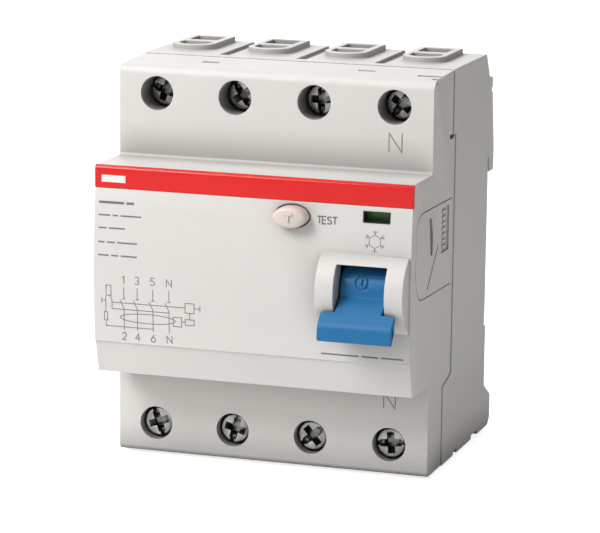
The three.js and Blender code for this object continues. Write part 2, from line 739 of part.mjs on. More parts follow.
function driveLink() {
  const dy = hornPin()[0] - crankPin()[0];
  const dz = hornPin()[1] - crankPin()[1];
  const bar = alongX([
    [-1.8, -1.6], [dy + 2.6, dz - 1.9], [dy + 3, dz], [dy + 2.6, dz + 1.9],
    [-1.8, 1.6], [-2.2, 0],
  ], [0, 1.8]);
  const eye = rod('x', 1.2, [-1, 3], [0, 0], 14);
  const slot = block([-1, 3], [dy - 2.8, dy + 1.7], [dz - 1.25, dz + 1.25]);
  return less(bar, [eye, slot]);
}

function mechanismFrame() {
  const cheek = [
    [-57.6, -3.4], [-57.6, 2.6], [-54.8, 7.4], [-20.4, 7.4], [-20.4, -8], [-53.6, -8],
  ].reverse();
  const left = LEVER_X - 6.8;
  const right = LEVER_X + 5.6;
  const plates = [left, right].map((x) => alongX(cheek, [x, x + 1]));
  const web = block([left, right + 1], [-50, -21], [-8, -7]);
  const pinHole = rod('x', 1.4, [0, 40], [LEVER_Y, LEVER_Z], 16);
  const tripHole = rod('x', 1.6, [left - 1, left + 2], [TRIP_Y, TRIP_Z], 14);
  return less(union([...plates, web]), [pinHole, tripHole]);
}

function tripLever() {
  return union([
    rod('x', 1.2, [11.4, 21.4], [0, 0], 12),
    alongX([[-8, -0.6], [-8, 0.9], [0, 1.1], [0, -1.1], [-6, -0.8]], [11.6, 16.6]),
    alongX([[-1, 0], [1, 0], [1, 6.5], [-0.4, 6.5]], [19.7, 21.2]),
  ]);
}

function torsionSpring() {
  const turns = 1.6;
  const steps = turns * 10;
  const coilR = 3.1;
  const points = [];
  for (let i = 0; i <= steps; i += 1) {
    const [y, z] = polar(coilR, i / steps * turns * 360);
    points.push([31 + i / steps * 1.5, SHAFT_Y + y, SHAFT_Z + z]);
  }
  return wire(points, 0.35, steps, 6);
}

function relayCase() {
  return block([5.6, 17.2], [-40.8, -29], [-20, -9.4])
    .add(block([6.6, 16.2], [-39.8, -30], [-9.5, -8.6]))
    .subtract(rod('z', 1.6, [-15, 0], [RELAY_X, RELAY_Y], 14));
}

function relayPlunger() {
  return rod('z', 1.2, [-14, -5.4], [RELAY_X, RELAY_Y], 12);
}

function testButton() {
  const rise = 1.2;
  const rim = BUTTON_TIP + rise;
  const cap = alongY(buttonOutline(0), [rim - 0.5, -53], 4);
  const dome = new THREE.SphereGeometry(1, 20, 10);
  dome.rotateX(Math.PI / 2);
  dome.scale(BUTTON_HALF[0] * 1.3, rise, BUTTON_HALF[1] * 1.4);
  dome.translate(BUTTON_X, rim, BUTTON_Z);
  const crowned = alongY(buttonOutline(0), [BUTTON_TIP - 1, rim - 0.4], 4).intersect(solid(dome));
  const flangeX = [BUTTON_X - 4.8, BUTTON_X + 4.8];
  const flange = block(flangeX, [-55, -54], [BUTTON_Z - 3.1, BUTTON_Z + 3.1]);
  return union([cap, crowned, flange]);
}

function testBlade() {
  return union([
    block([-2, 2], [-0.25, 0.25], [-2.2, 13]),
    block([-1.2, 1.2], [0.1, 0.7], [9.8, 12]),
  ]);
}

function testResistor() {
  const barrelX = [BUTTON_X - 4.5, BUTTON_X + 4.5];
  const barrel = rod('x', 1.7, barrelX, [-47.6, BUTTON_Z], 16);
  const lead = (side) => wire([
    [BUTTON_X + side * 4.2, -47.6, BUTTON_Z], [BUTTON_X + side * 5.6, -47.5, BUTTON_Z - 0.4],
    [BUTTON_X + side * 6, -47, BUTTON_Z - 4], [BUTTON_X + side * 6, -46.6, 4],
  ], 0.4, 10, 6);
  return union([barrel, lead(-1), lead(1)]);
}

function statusFlag() {
  const plateX = [FLAG_X - 3.6, FLAG_X + 3.6];
  const plate = block(plateX, [-54.9, -54.1], [FLAG_Z - 4.5, FLAG_Z + 1.5]);
  const stem = block([FLAG_X + 1.4, FLAG_X + 3.2], [-54.6, -52.4], [FLAG_Z - 6.6, FLAG_Z - 3]);
  return plate.add(stem);
}

// ---- assembly -----------------------------------------------------------
const group = new THREE.Group();
const add = (...pieces) => group.add(...pieces);

add(part('front_cover', frontCover(), 'housing'));
add(part('rear_base', rearBase(), 'housing'));
add(part('accent_band', accentBand(), 'accent'));
add(part('side_plug', sidePlug(), 'housing'));
add(part('rail_clip_left', railClip(), 'clip', [-MODULE, 0, 0]));
add(part('rail_clip_right', railClip(), 'clip', [MODULE, 0, 0]));

const screwEnd = BAR_FRONT - GAP;
const topScrew = terminalScrew(screwEnd - TOP_HEAD_FRONT);
const lowScrew = terminalScrew(screwEnd - LOW_HEAD_FRONT);
const cage = clampCage();
poleX.forEach((x, i) => {
  const pole = i + 1;
  const slant = [0, 20 + 35 * i, 0];
  const lowSlant = [0, 70 + 35 * i, 0];
  const topPlace = [x, TOP_HEAD_FRONT, SCREW_Z];
  const lowPlace = [x, LOW_HEAD_FRONT, -SCREW_Z];
  add(part(`terminal_screw_top_${pole}`, topScrew, 'zinc', topPlace, slant));
  add(part(`terminal_screw_bottom_${pole}`, lowScrew, 'zinc', lowPlace, lowSlant));
  add(part(`clamp_cage_top_${pole}`, cage, 'zinc', [x, 0, SCREW_Z]));
  add(part(`clamp_cage_bottom_${pole}`, cage, 'zinc', [x, 0, -SCREW_Z]));
  add(part(`fixed_contact_${pole}`, fixedContact(), 'copper', [x, 0, 0]));
  add(part(`moving_contact_${pole}`, movingContact(), 'copper', [x, SHAFT_Y, SHAFT_Z]));
  add(part(`load_conductor_${pole}`, loadConductor(i), 'copper'));
});

add(part('contact_carrier', contactCarrier(), 'insulator', [0, SHAFT_Y, SHAFT_Z]));
add(part('summation_ring', summationRing(), 'insulator'));
add(part('sensing_winding', sensingWinding(), 'copper'));
const pivot = [LEVER_X, LEVER_Y, LEVER_Z];
add(part('toggle_lever', leverBody(), 'lever', pivot));
add(part('toggle_pin', rod('x', 1.1, [-7.4, 7.2], [0, 0], 14), 'steel', pivot));
add(part('drive_link', driveLink(), 'steel', [LEVER_X, ...crankPin()]));
add(part('mechanism_frame', mechanismFrame(), 'steel'));
add(part('opening_spring', torsionSpring(), 'steel'));
add(part('trip_lever', tripLever(), 'insulator', [0, TRIP_Y, TRIP_Z]));
add(part('trip_relay', relayCase(), 'insulator'));
add(part('relay_plunger', relayPlunger(), 'steel'));
add(part('test_button', testButton(), 'button'));
add(part('test_blade', testBlade(), 'copper', [BUTTON_X, -52, 3]));
add(part('test_resistor', testResistor(), 'ceramic'));
add(part('status_flag', statusFlag(), 'green'));

export default group;
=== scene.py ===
# %% [markdown]
# # A four-pole residual current device
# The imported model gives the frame: every node already has its place, in metres, with X to the
# right, -Y to the front and +Z up. This file adds the looks around it: rounded mouldings, cut
# screw heads, prints and the finish of every material. Nothing of the frame moves.

# %% Load the frame
import json
import math
import bmesh
import bpy
from mathutils import Matrix, Vector
from mathutils.geometry import intersect_point_line
from mathutils.bvhtree import BVHTree


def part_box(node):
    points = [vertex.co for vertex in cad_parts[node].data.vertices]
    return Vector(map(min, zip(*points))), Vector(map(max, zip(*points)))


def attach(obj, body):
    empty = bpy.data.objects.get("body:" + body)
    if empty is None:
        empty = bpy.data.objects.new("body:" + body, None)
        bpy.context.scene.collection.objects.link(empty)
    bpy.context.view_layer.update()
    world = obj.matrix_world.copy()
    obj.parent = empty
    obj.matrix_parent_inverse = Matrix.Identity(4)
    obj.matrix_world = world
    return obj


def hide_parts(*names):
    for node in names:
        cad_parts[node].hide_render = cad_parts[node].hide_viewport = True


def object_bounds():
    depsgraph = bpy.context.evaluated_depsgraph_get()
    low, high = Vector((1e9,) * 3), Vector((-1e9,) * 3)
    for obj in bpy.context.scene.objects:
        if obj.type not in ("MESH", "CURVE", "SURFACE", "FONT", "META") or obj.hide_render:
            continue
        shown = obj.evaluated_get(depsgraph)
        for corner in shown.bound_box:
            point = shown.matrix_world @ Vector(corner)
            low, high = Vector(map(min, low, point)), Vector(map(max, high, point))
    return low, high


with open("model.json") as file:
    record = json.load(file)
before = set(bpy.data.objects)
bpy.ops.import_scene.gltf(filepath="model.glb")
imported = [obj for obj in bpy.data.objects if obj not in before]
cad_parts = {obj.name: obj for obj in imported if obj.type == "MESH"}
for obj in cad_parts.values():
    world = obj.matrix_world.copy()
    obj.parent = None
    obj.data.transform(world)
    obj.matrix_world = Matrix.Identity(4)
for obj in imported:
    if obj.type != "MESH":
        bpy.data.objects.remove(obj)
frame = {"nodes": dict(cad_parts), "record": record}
CAD_BOX = [list(corner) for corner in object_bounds()]
MM = 0.001
POLES = (1, 2, 3, 4)
joint_of = {joint["name"]: joint for joint in frame["record"]["behaviour"]["joints"]}

# %% [markdown]
# ## Camera
# A long lens from the right and a little above keeps the sides of the case nearly parallel, as
# catalogue views of such devices do. The camera is placed by yaw, pitch and roll, so that each
# angle can be read and changed on its own.

# %% Place the camera
YAW, PITCH, ROLL = math.radians(18.15), math.radians(11.46), math.radians(0.66)
camera_data = bpy.data.cameras.new("camera")
camera_data.sensor_width = 36
camera_data.lens = 186.9
camera_data.clip_start, camera_data.clip_end = 0.05, 10
camera = bpy.data.objects.new("camera", camera_data)
camera.location = Vector((206.7, -656.0, 131.5)) * MM
turn = Matrix.Rotation(YAW, 3, "Z") @ Matrix.Rotation(math.pi / 2 - PITCH, 3, "X")
camera.rotation_euler = (turn @ Matrix.Rotation(ROLL, 3, "Z")).to_euler()
bpy.context.collection.objects.link(camera)
bpy.context.scene.camera = camera

# %% [markdown]
# ## Light and floor
# White surroundings and three soft panels: a broad one in front and to the left, one above that
# makes the upward faces the brightest, and a weak one behind. The right-hand side is left in
# half shade, so that the depth of the case reads. The floor is plain and pale.

# %% Light the scene
def soft_light(name, place, size, power):
    data = bpy.data.lights.new(name, "AREA")
    data.shape, data.size, data.size_y, data.energy = "RECTANGLE", size[0], size[1], power
    light = bpy.data.objects.new(name, data)
    light.location = place
    aim = Vector((0, -0.03, 0)) - Vector(place)
    light.rotation_euler = aim.to_track_quat("-Z", "Y").to_euler()
    bpy.context.collection.objects.link(light)

soft_light("key", (-0.26, -0.36, 0.36), (0.26, 0.26), 2.15)
soft_light("top", (-0.10, -0.06, 0.70), (0.50, 0.40), 1.2)
soft_light("back", (-0.30, 0.70, 0.40), (0.50, 0.50), 1.2)
world = bpy.data.worlds.new("surroundings")
world.use_nodes = True
SKY_FILL, SKY_SEEN = 0.24, 1.0
sky = world.node_tree.nodes["Background"]
seen = world.node_tree.nodes.new("ShaderNodeLightPath").outputs["Is Camera Ray"]
level = world.node_tree.nodes.new("ShaderNodeMapRange")
level.inputs["To Min"].default_value, level.inputs["To Max"].default_value = SKY_FILL, SKY_SEEN
world.node_tree.links.new(seen, level.inputs["Value"])
world.node_tree.links.new(level.outputs["Result"], sky.inputs["Strength"])
sky.inputs["Color"].default_value = (1, 1, 1, 1)
bpy.context.scene.world = world
bpy.context.scene.view_settings.view_transform = "Standard"

# %% Lay the floor
FLOOR_HALF = 4
FLOOR_Z = CAD_BOX[0][2]
corners = [(-1, -1), (1, -1), (1, 1), (-1, 1)]
floor_mesh = bpy.data.meshes.new("floor")
places = [(x * FLOOR_HALF, y * FLOOR_HALF, FLOOR_Z) for x, y in corners]
floor_mesh.from_pydata(places, [], [(0, 1, 2, 3)])
floor = bpy.data.objects.new("floor", floor_mesh)
bpy.context.collection.objects.link(floor)

# %% [markdown]
# ## Effects that several finishes share
# Moulded plastic has a fine eroded grain from the mould and cloudy patches that are hardly seen.
# Edges that hands and tools touch are polished a little lighter. Metal carries fine streaks.
# Each effect is a node group, built once, that gives a height and a mask. Every material then
# places it with its own scale, which keeps the finishes related and easy to change.

# %% Node groups
def start_group(name, inputs, outputs):
    group = bpy.data.node_groups.new(name, "ShaderNodeTree")
    for label, value in inputs:
        socket = group.interface.new_socket(label, in_out="INPUT", socket_type="NodeSocketFloat")
        socket.default_value = value
    for label in outputs:
        group.interface.new_socket(label, in_out="OUTPUT", socket_type="NodeSocketFloat")
    return group, group.nodes.new("NodeGroupInput"), group.nodes.new("NodeGroupOutput")

def add_noise(tree, place, scale, detail, roughness=0.5):
    noise = tree.nodes.new("ShaderNodeTexNoise")
    noise.inputs["Detail"].default_value = detail
    noise.inputs["Roughness"].default_value = roughness
    tree.links.new(place, noise.inputs["Vector"])
    if isinstance(scale, (int, float)):
        noise.inputs["Scale"].default_value = scale
    else:
        tree.links.new(scale, noise.inputs["Scale"])
    return noise.outputs["Fac"]

def add_math(tree, kind, first, second):
    node = tree.nodes.new("ShaderNodeMath")
    node.operation = kind
    for socket, value in zip(node.inputs, (first, second)):
        if isinstance(value, (int, float)):
            socket.default_value = value
        else:
            tree.links.new(value, socket)
    return node.outputs[0]

def grain_group():
    settings = [("Scale", 3000), ("Cloud Scale", 60)]
    group, given, put = start_group("mould grain", settings, ["Height", "Cloud"])
    place = group.nodes.new("ShaderNodeTexCoord").outputs["Object"]
    fine = add_noise(group, place, given.outputs["Scale"], 3)
    cloud = add_noise(group, place, given.outputs["Cloud Scale"], 4, 0.6)
    group.links.new(fine, put.inputs["Height"])
    group.links.new(cloud, put.inputs["Cloud"])
    return group

def wear_group():
    settings = [("Start", 0.52), ("Breakup Scale", 400)]
    group, given, put = start_group("edge wear", settings, ["Mask"])
    sharp = group.nodes.new("ShaderNodeNewGeometry").outputs["Pointiness"]
    place = group.nodes.new("ShaderNodeTexCoord").outputs["Object"]
    rise = add_math(group, "MULTIPLY", add_math(group, "SUBTRACT", sharp, given.outputs["Start"]), 12)
    patchy = add_noise(group, place, given.outputs["Breakup Scale"], 3)
    clamped = group.nodes.new("ShaderNodeClamp")
    group.links.new(add_math(group, "MULTIPLY", rise, patchy), clamped.inputs["Value"])
    group.links.new(clamped.outputs[0], put.inputs["Mask"])
    return group

def streak_group():
    settings = [("Scale", 900), ("Stretch", 0.08)]
    group, given, put = start_group("metal streaks", settings, ["Height", "Stain"])
    place = group.nodes.new("ShaderNodeTexCoord").outputs["Object"]
    squeeze = group.nodes.new("ShaderNodeCombineXYZ")
    squeeze.inputs[0].default_value = squeeze.inputs[2].default_value = 1
    group.links.new(given.outputs["Stretch"], squeeze.inputs[1])
    stretched = group.nodes.new("ShaderNodeVectorMath")
    stretched.operation = "MULTIPLY"
    group.links.new(place, stretched.inputs[0])
    group.links.new(squeeze.outputs[0], stretched.inputs[1])
    height = add_noise(group, stretched.outputs[0], given.outputs["Scale"], 4)
    group.links.new(height, put.inputs["Height"])
    group.links.new(add_noise(group, place, 350, 5, 0.65), put.inputs["Stain"])
    return group

GRAIN, WEAR, STREAK = grain_group(), wear_group(), streak_group()

# %% [markdown]
# ## Finishes
# One function makes every plastic and another every metal. Colour, gloss and grain come in as
# plain numbers. Roughness and colour then vary a little over the surface, because a surface that
# is the same everywhere looks drawn rather than made. Shade is painted into the colour where little
# of the surroundings can be seen, so the walls of deep holes, the hollows of a screw head and faces
# near other parts turn dark. An ambient occlusion node finds such places by their shape, so none of
# this painted shade is placed by hand.

# %% Build a plastic
def srgb(*levels):
    """A linear colour from three display levels of 0 to 255."""
    return (*[((level / 255 + 0.055) / 1.055) ** 2.4 for level in levels], 1)

def start_material(name):
    material = bpy.data.materials.new(name)
    material.use_nodes = True
    return material, material.node_tree, material.node_tree.nodes["Principled BSDF"]

def add_group(tree, group, **values):
    node = tree.nodes.new("ShaderNodeGroup")
    node.node_tree = group
    for label, value in values.items():
        node.inputs[label.replace("_", " ")].default_value = value
    return node

def mix_colours(tree, mask, first, second):
    node = tree.nodes.new("ShaderNodeMix")
    node.data_type = "RGBA"
    tree.links.new(mask, node.inputs["Factor"])
    for socket, value in ((node.inputs["A"], first), (node.inputs["B"], second)):
        if isinstance(value, tuple):
            socket.default_value = value
        else:
            tree.links.new(value, socket)
    return node.outputs["Result"]

def spread(tree, value, low, high):
    node = tree.nodes.new("ShaderNodeMapRange")
    node.inputs["From Min"].default_value, node.inputs["From Max"].default_value = 0.3, 0.7
    node.inputs["To Min"].default_value, node.inputs["To Max"].default_value = low, high
    tree.links.new(value, node.inputs["Value"])
    return node.outputs["Result"]

def add_bump(tree, shader, height, depth, strength=1.0):
    node = tree.nodes.new("ShaderNodeBump")
    node.inputs["Distance"].default_value = depth
    node.inputs["Strength"].default_value = strength
    tree.links.new(height, node.inputs["Height"])
    tree.links.new(node.outputs["Normal"], shader.inputs["Normal"])

def shade(colour, factor):
    return (*[min(1, c * factor) for c in colour[:3]], 1)

# How far the painted shade reaches, in plastic and in metal.
PLASTIC_REACH, METAL_REACH = 8 * MM, 2.5 * MM

def painted_shade(tree, reach, power, shaded, unshaded):
    """Paints shade into the colour: darker where other surfaces stand closer than this reach."""
    sky = tree.nodes.new("ShaderNodeAmbientOcclusion")
    sky.inputs["Distance"].default_value = reach
    return mix_colours(tree, add_math(tree, "POWER", sky.outputs["AO"], power), shaded, unshaded)

def plastic(name, colour, gloss=(0.38, 0.5), grain=2600, depth=0.004 * MM, worn=1.12, shine=0.4,
            shaded=None):
    material, tree, shader = start_material(name)
    fine = add_group(tree, GRAIN, Scale=grain)
    wear = add_group(tree, WEAR)
    cloudy = mix_colours(tree, fine.outputs["Cloud"], shade(colour, 0.965), shade(colour, 1.03))
    colours = mix_colours(tree, wear.outputs["Mask"], cloudy, shade(colour, worn))
    # Painted shade: the colour turns darker in hollows and beside other parts.
    if shaded:
        colours = painted_shade(tree, PLASTIC_REACH, 1.3, shade(colour, shaded), colours)
    tree.links.new(colours, shader.inputs["Base Color"])
    tree.links.new(spread(tree, fine.outputs["Cloud"], *gloss), shader.inputs["Roughness"])
    shader.inputs["Specular IOR Level"].default_value = shine
    add_bump(tree, shader, fine.outputs["Height"], depth)
    return material

# %% Build a metal
def metal(name, colour, stain, gloss=(0.22, 0.42), scale=900, depth=0.006 * MM):
    material, tree, shader = start_material(name)
    shader.inputs["Metallic"].default_value = 1
    streak = add_group(tree, STREAK, Scale=scale)
    wear = add_group(tree, WEAR)
    dulled = mix_colours(tree, spread(tree, streak.outputs["Stain"], 0, 1), colour, stain)
    edged = mix_colours(tree, wear.outputs["Mask"], dulled, shade(colour, 1.25))
    # Painted shade: every metal turns dark in its hollows, such as a screw head's recess.
    colours = painted_shade(tree, METAL_REACH, 1.2, shade(stain, 0.12), edged)
    tree.links.new(colours, shader.inputs["Base Color"])
    tree.links.new(spread(tree, streak.outputs["Stain"], *gloss), shader.inputs["Roughness"])
    add_bump(tree, shader, streak.outputs["Height"], depth)
    return material

# %% Make the finishes
# Of the plastics only the housing gets painted shade, where other surfaces stand near.
HOUSING = plastic("light grey housing", srgb(227, 224, 220), shaded=0.3)
ACCENT = plastic("red accent", srgb(228, 26, 24), gloss=(0.16, 0.22), grain=1500,
                 depth=0.0008 * MM, worn=1.15)
LEVER = plastic("blue toggle", srgb(42, 117, 170), gloss=(0.32, 0.42), grain=1800,
                depth=0.003 * MM, worn=1.25, shine=0.25)
BUTTON = plastic("cream button", srgb(228, 214, 208), gloss=(0.26, 0.36), grain=1500,
                 depth=0.002 * MM)
FLAG = plastic("green flag", srgb(112, 172, 98), gloss=(0.3, 0.4), grain=1500, depth=0.002 * MM)
CLIP = plastic("grey clip", srgb(116, 118, 120), gloss=(0.4, 0.55))
DARK = plastic("black insulator", srgb(48, 49, 51), gloss=(0.45, 0.6))
CERAMIC = plastic("glazed ceramic", srgb(206, 190, 156), gloss=(0.3, 0.45), grain=900)
ENAMEL = metal("enamelled wire", srgb(176, 92, 44), srgb(140, 66, 30), gloss=(0.2, 0.3))
ZINC = metal("bright zinc plating", srgb(214, 214, 210), srgb(128, 128, 126), gloss=(0.16, 0.34))
STEEL = metal("spring steel", srgb(168, 170, 172), srgb(120, 122, 126))
COPPER = metal("copper", srgb(206, 134, 92), srgb(164, 92, 58))
INK = plastic("grey print", srgb(118, 118, 118), gloss=(0.5, 0.6), grain=4000, depth=0.001 * MM)
WHITE_INK = plastic("white print", srgb(240, 236, 232), gloss=(0.4, 0.5), grain=4000,
                    depth=0.001 * MM)
FLOOR = plastic("pale floor", srgb(250, 250, 250), gloss=(0.7, 0.8), grain=200,
                depth=0.01 * MM, worn=1)
glow = FLOOR.node_tree.nodes.new("ShaderNodeLightPath").outputs["Is Camera Ray"]
glow = spread(FLOOR.node_tree, glow, 0, 0.8)
FLOOR.node_tree.links.new(glow, FLOOR.node_tree.nodes["Principled BSDF"].inputs["Emission Strength"])
FLOOR.node_tree.nodes["Principled BSDF"].inputs["Emission Color"].default_value = (1, 1, 1, 1)
floor.data.materials.append(FLOOR)
print("finishes", len(bpy.data.materials))

# %% [markdown]
# ## Rounded mouldings
# A moulding has no knife edge: its mould is cut with small radii, and it is these that catch the
# light. A frame node already has the right shape, so a copy of it is merged, its flat faces are
# joined, and a Bevel modifier rounds what is left. Weighted normals keep the flats flat. That is
# quicker and safer than drawing each case again, and the copy can only be smaller than the node.
# A rounding that is wider than the wall beside it would fold over. Each edge therefore gets a
# bevel weight: the share of the full width that its faces have room for. Two rounded edges share
# the gap between them, and one that faces an edge left alone has nearly all of it.

# %% Round a copy of a node
FLAT_TO, SHARP_FROM = math.radians(0.5), math.radians(50)
SHARED_GAP, OWN_GAP = 0.42, 0.85

def merged_copy(node):
    solid = bmesh.new()
    solid.from_mesh(frame["nodes"][node].data)
    bmesh.ops.remove_doubles(solid, verts=solid.verts, dist=0.002 * MM)
    bmesh.ops.dissolve_limit(solid, angle_limit=FLAT_TO, verts=solid.verts, edges=solid.edges)
    return solid

def new_piece(name, solid):
    mesh = bpy.data.meshes.new(name)
    solid.to_mesh(mesh)
    solid.free()
    piece = bpy.data.objects.new(name, mesh)
    bpy.context.collection.objects.link(piece)
    return piece

def gap_to(point, edge):
    first, second = (vert.co for vert in edge.verts)
    _, share = intersect_point_line(point, first, second)
    return (point - first.lerp(second, min(1, max(0, share)))).length

def inward(face, loop):
    """The direction in the face that leads away from this edge."""
    return face.normal.cross(loop.link_loop_next.vert.co - loop.vert.co).normalized()

def room_in(face, edge, sharp):
    """The widest rounding this face leaves for the edge before it meets an opposite edge."""
    away = {loop.edge: inward(face, loop) for loop in face.loops}
    room = 1
    for other in face.edges:
        if set(other.verts) & set(edge.verts) or away[other].dot(away[edge]) > -0.1:
            continue
        gap = min([gap_to(vert.co, other) for vert in edge.verts]
                  + [gap_to(vert.co, edge) for vert in other.verts])
        room = min(room, gap * (SHARED_GAP if other in sharp else OWN_GAP))
    return room

def weigh_edges(piece, width, angle, crisp):
    solid = bmesh.new()
    solid.from_mesh(piece.data)
    weight = solid.edges.layers.float.new("bevel_weight_edge")
    sharp = {edge for edge in solid.edges if edge.calc_face_angle(0) > math.radians(angle)}
    for edge in sharp:
        room = min(room_in(face, edge, sharp) for face in edge.link_faces)
        left_crisp = all(crisp(*vert.co) for vert in edge.verts)
        edge[weight] = 0 if left_crisp else min(1, room / width)
    solid.to_mesh(piece.data)
    solid.free()

def add_rounding(piece, width, segments=2, angle=30, crisp=lambda x, y, z: False):
    weigh_edges(piece, width, angle, crisp)
    bevel = piece.modifiers.new("rounding", "BEVEL")
    bevel.width, bevel.segments, bevel.limit_method = width, segments, "WEIGHT"
    bevel.use_clamp_overlap = False

def apply_modifiers(piece):
    graph = bpy.context.evaluated_depsgraph_get()
    mesh = bpy.data.meshes.new_from_object(piece.evaluated_get(graph), depsgraph=graph)
    piece.modifiers.clear()
    piece.data = mesh
    mesh.name = piece.name

def settle(piece):
    """Leaves a plain mesh: smooth roundings, flat flats and sharp edges where none is rounded."""
    apply_modifiers(piece)
    solid = bmesh.new()
    solid.from_mesh(piece.data)
    for face in solid.faces:
        face.smooth = True
    for edge in solid.edges:
        edge.smooth = edge.calc_face_angle(0) < SHARP_FROM
    solid.to_mesh(piece.data)
    solid.free()
    piece.modifiers.new("flat faces stay flat", "WEIGHTED_NORMAL").keep_sharp = True
    apply_modifiers(piece)
    return piece

def finish_piece(piece, material, body, slot_name, *nodes):
    piece.data.materials.clear()
    piece.data.materials.append(material)
    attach(piece, body)
    if nodes:
        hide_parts(*nodes)
    print(piece.name, "triangles", sum(len(p.vertices) - 2 for p in piece.data.polygons))
    return piece

def ease(solid, width, wanted, segments=4):
    """Rounds only the edges whose two ends are both wanted."""
    edges = [edge for edge in solid.edges if all(wanted(*vert.co) for vert in edge.verts)]
    bmesh.ops.bevel(solid, geom=edges, offset=width, offset_type="OFFSET", segments=segments,
                    profile=0.5, affect="EDGES", clamp_overlap=True)
    print("eased edges", len(edges))

def rounded(name, node, width, material, body, slot_name, *eased, **rest):
    solid = merged_copy(node)
    for settings in eased:
        ease(solid, *settings)
    piece = new_piece(name, solid)
    add_rounding(piece, width, **rest)
    return finish_piece(settle(piece), material, body, slot_name, node)

# %% [markdown]
# ## Case
# The case is two mouldings that clip together, with a red band across the nose, a plug over the
# auxiliary contact's opening and two clips at the back. All are rounded copies. The rims of the
# screw holes and the outer rims of the toggle's surround are softer than the rest, and these are
# chosen by where they lie. Where small features crowd together, in the corner with the two latch
# slots, at the foot of the surround and inside the base, the edges are left crisp instead, since
# roundings there would run into each other. The band is a polished strip, glossier than the case.

# %% Case pieces
PIVOT = Vector(joint_of["toggle_swing"]["pos_m"])
BEZEL_R, BEZEL_HALF = 9 * MM, 9.4 * MM
HOLE_R, SHOULDER_Y = 3.65 * MM, -44 * MM
NEAR = 0.06 * MM
SCREW_BOXES = [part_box(f"terminal_screw_{end}_{pole}") for end in ("top", "bottom") for pole in POLES]
SCREW_AT = [(low + high) / 2 for low, high in SCREW_BOXES]

def on_hole_rim(x, y, z):
    reach = min(math.hypot(x - at.x, z - at.z) for at in SCREW_AT)
    return abs(y - SHOULDER_Y) < NEAR and abs(reach - HOLE_R) < NEAR

def on_surround_rim(x, y, z):
    reach = math.hypot(y - PIVOT.y, z - PIVOT.z)
    return abs(abs(x - PIVOT.x) - BEZEL_HALF) < NEAR and abs(reach - BEZEL_R) < NEAR

def in_latch_corner(x, y, z):
    return z > 40 * MM and x > 29 * MM and y < -37.3 * MM

def at_surround_foot(x, y, z):
    return abs(x - PIVOT.x) < 10 * MM and 7.2 * MM < abs(z) < 8.6 * MM and y < -58.6 * MM

def inside_ceiling(x, y, z):
    return abs(abs(z) - 40.5 * MM) < 2 * NEAR and abs(x) < 33.5 * MM

def kept_crisp(x, y, z):
    return in_latch_corner(x, y, z) or at_surround_foot(x, y, z)

rounded("case_front", "front_cover", 0.22 * MM, HOUSING, "housing", "housing",
        (0.4 * MM, on_hole_rim), (0.7 * MM, on_surround_rim), crisp=kept_crisp)
rounded("case_rear", "rear_base", 0.2 * MM, HOUSING, "housing", "housing", crisp=inside_ceiling)
rounded("red_band", "accent_band", 0.14 * MM, ACCENT, "housing", "accent")
rounded("plug_cover", "side_plug", 0.08 * MM, HOUSING, "housing", "housing")
for side in ("left", "right"):
    rounded(f"clip_{side}", f"rail_clip_{side}", 0.2 * MM, CLIP, f"clip_{side}", "clip")

# %% Dark sleeve that paints the shade inside the indicator's window
WINDOW_X, WINDOW_Z = (27.1 - 2.88, 27.1 + 2.88), (15.3 - 1.18, 15.3 + 1.18)
SLEEVE_Y, SLEEVE_T = (-58.1, -56.3), 0.14

def window_lining():
    """A thin rectangular tube that stands in the window; it is dark, and paints the shade on the
    window's walls.
    """
    solid = bmesh.new()
    loops = []
    for inset, y in ((0, 0), (0, 1), (SLEEVE_T, 1), (SLEEVE_T, 0)):
        low_x, high_x = WINDOW_X[0] + inset, WINDOW_X[1] - inset
        low_z, high_z = WINDOW_Z[0] + inset, WINDOW_Z[1] - inset
        corners = [(low_x, low_z), (high_x, low_z), (high_x, high_z), (low_x, high_z)]
        loops.append([solid.verts.new(Vector((x, SLEEVE_Y[y], z)) * MM) for x, z in corners])
    for first, second in zip(loops, loops[1:] + loops[:1]):
        for i in range(4):
            j = (i + 1) % 4
            solid.faces.new((first[i], first[j], second[j], second[i]))
    bmesh.ops.recalc_face_normals(solid, faces=solid.faces)
    return solid

# The sleeve's dark finish is painted shade: it darkens the walls of the indicator's window.
shade_sleeve = new_piece("window_lining", window_lining())
add_rounding(shade_sleeve, 0.03 * MM)
finish_piece(settle(shade_sleeve), DARK, "housing", "insulator")

# %% [markdown]
# ## Toggle
# The toggle is one blue moulding: a drum in the window, a neck and a wide paddle for the finger.
# The drum carries a raised 0 in a round dent for off and, round the bottom, an I for on. A mark
# on a drum is best made flat and then wrapped: each point's height becomes an angle round the
# pivot. The dent's cutter is wrapped in the same way, so its floor keeps the drum's curve.

# %% Marks wrapped round the drum
DRUM_R = 5.3 * MM
MARK_X = -0.2 * MM
ZERO_ANGLE, ONE_ANGLE = math.radians(25.3), math.radians(-72)
DENT_R, DENT_DEEP = 1.75 * MM, 0.28 * MM
MARK_SUNK = -0.5 * MM

def ring_outline(half_wide, half_high, count=40):
    return [(half_wide * math.cos(a), half_high * math.sin(a))
            for a in (math.tau * i / count for i in range(count))]

def band_between(solid, outer, inner, heights):
    """A closed raised ring between two outlines with the same number of points."""
    low, high = heights
    rows = [[solid.verts.new((u, v, w)) for u, v in line]
            for line, w in ((outer, low), (outer, high), (inner, high), (inner, low))]
    count = len(outer)
    for first, second in zip(rows, rows[1:] + rows[:1]):
        for i in range(count):
            j = (i + 1) % count
            solid.faces.new((first[i], first[j], second[j], second[i]))

def plate(solid, outline, heights):
    """A closed plate: an outline between two heights."""
    low, high = ([solid.verts.new((u, v, w)) for u, v in outline] for w in heights)
    solid.faces.new(high)
    solid.faces.new(low[::-1])
    for i in range(len(outline)):
        j = (i + 1) % len(outline)
        solid.faces.new((low[i], low[j], high[j], high[i]))

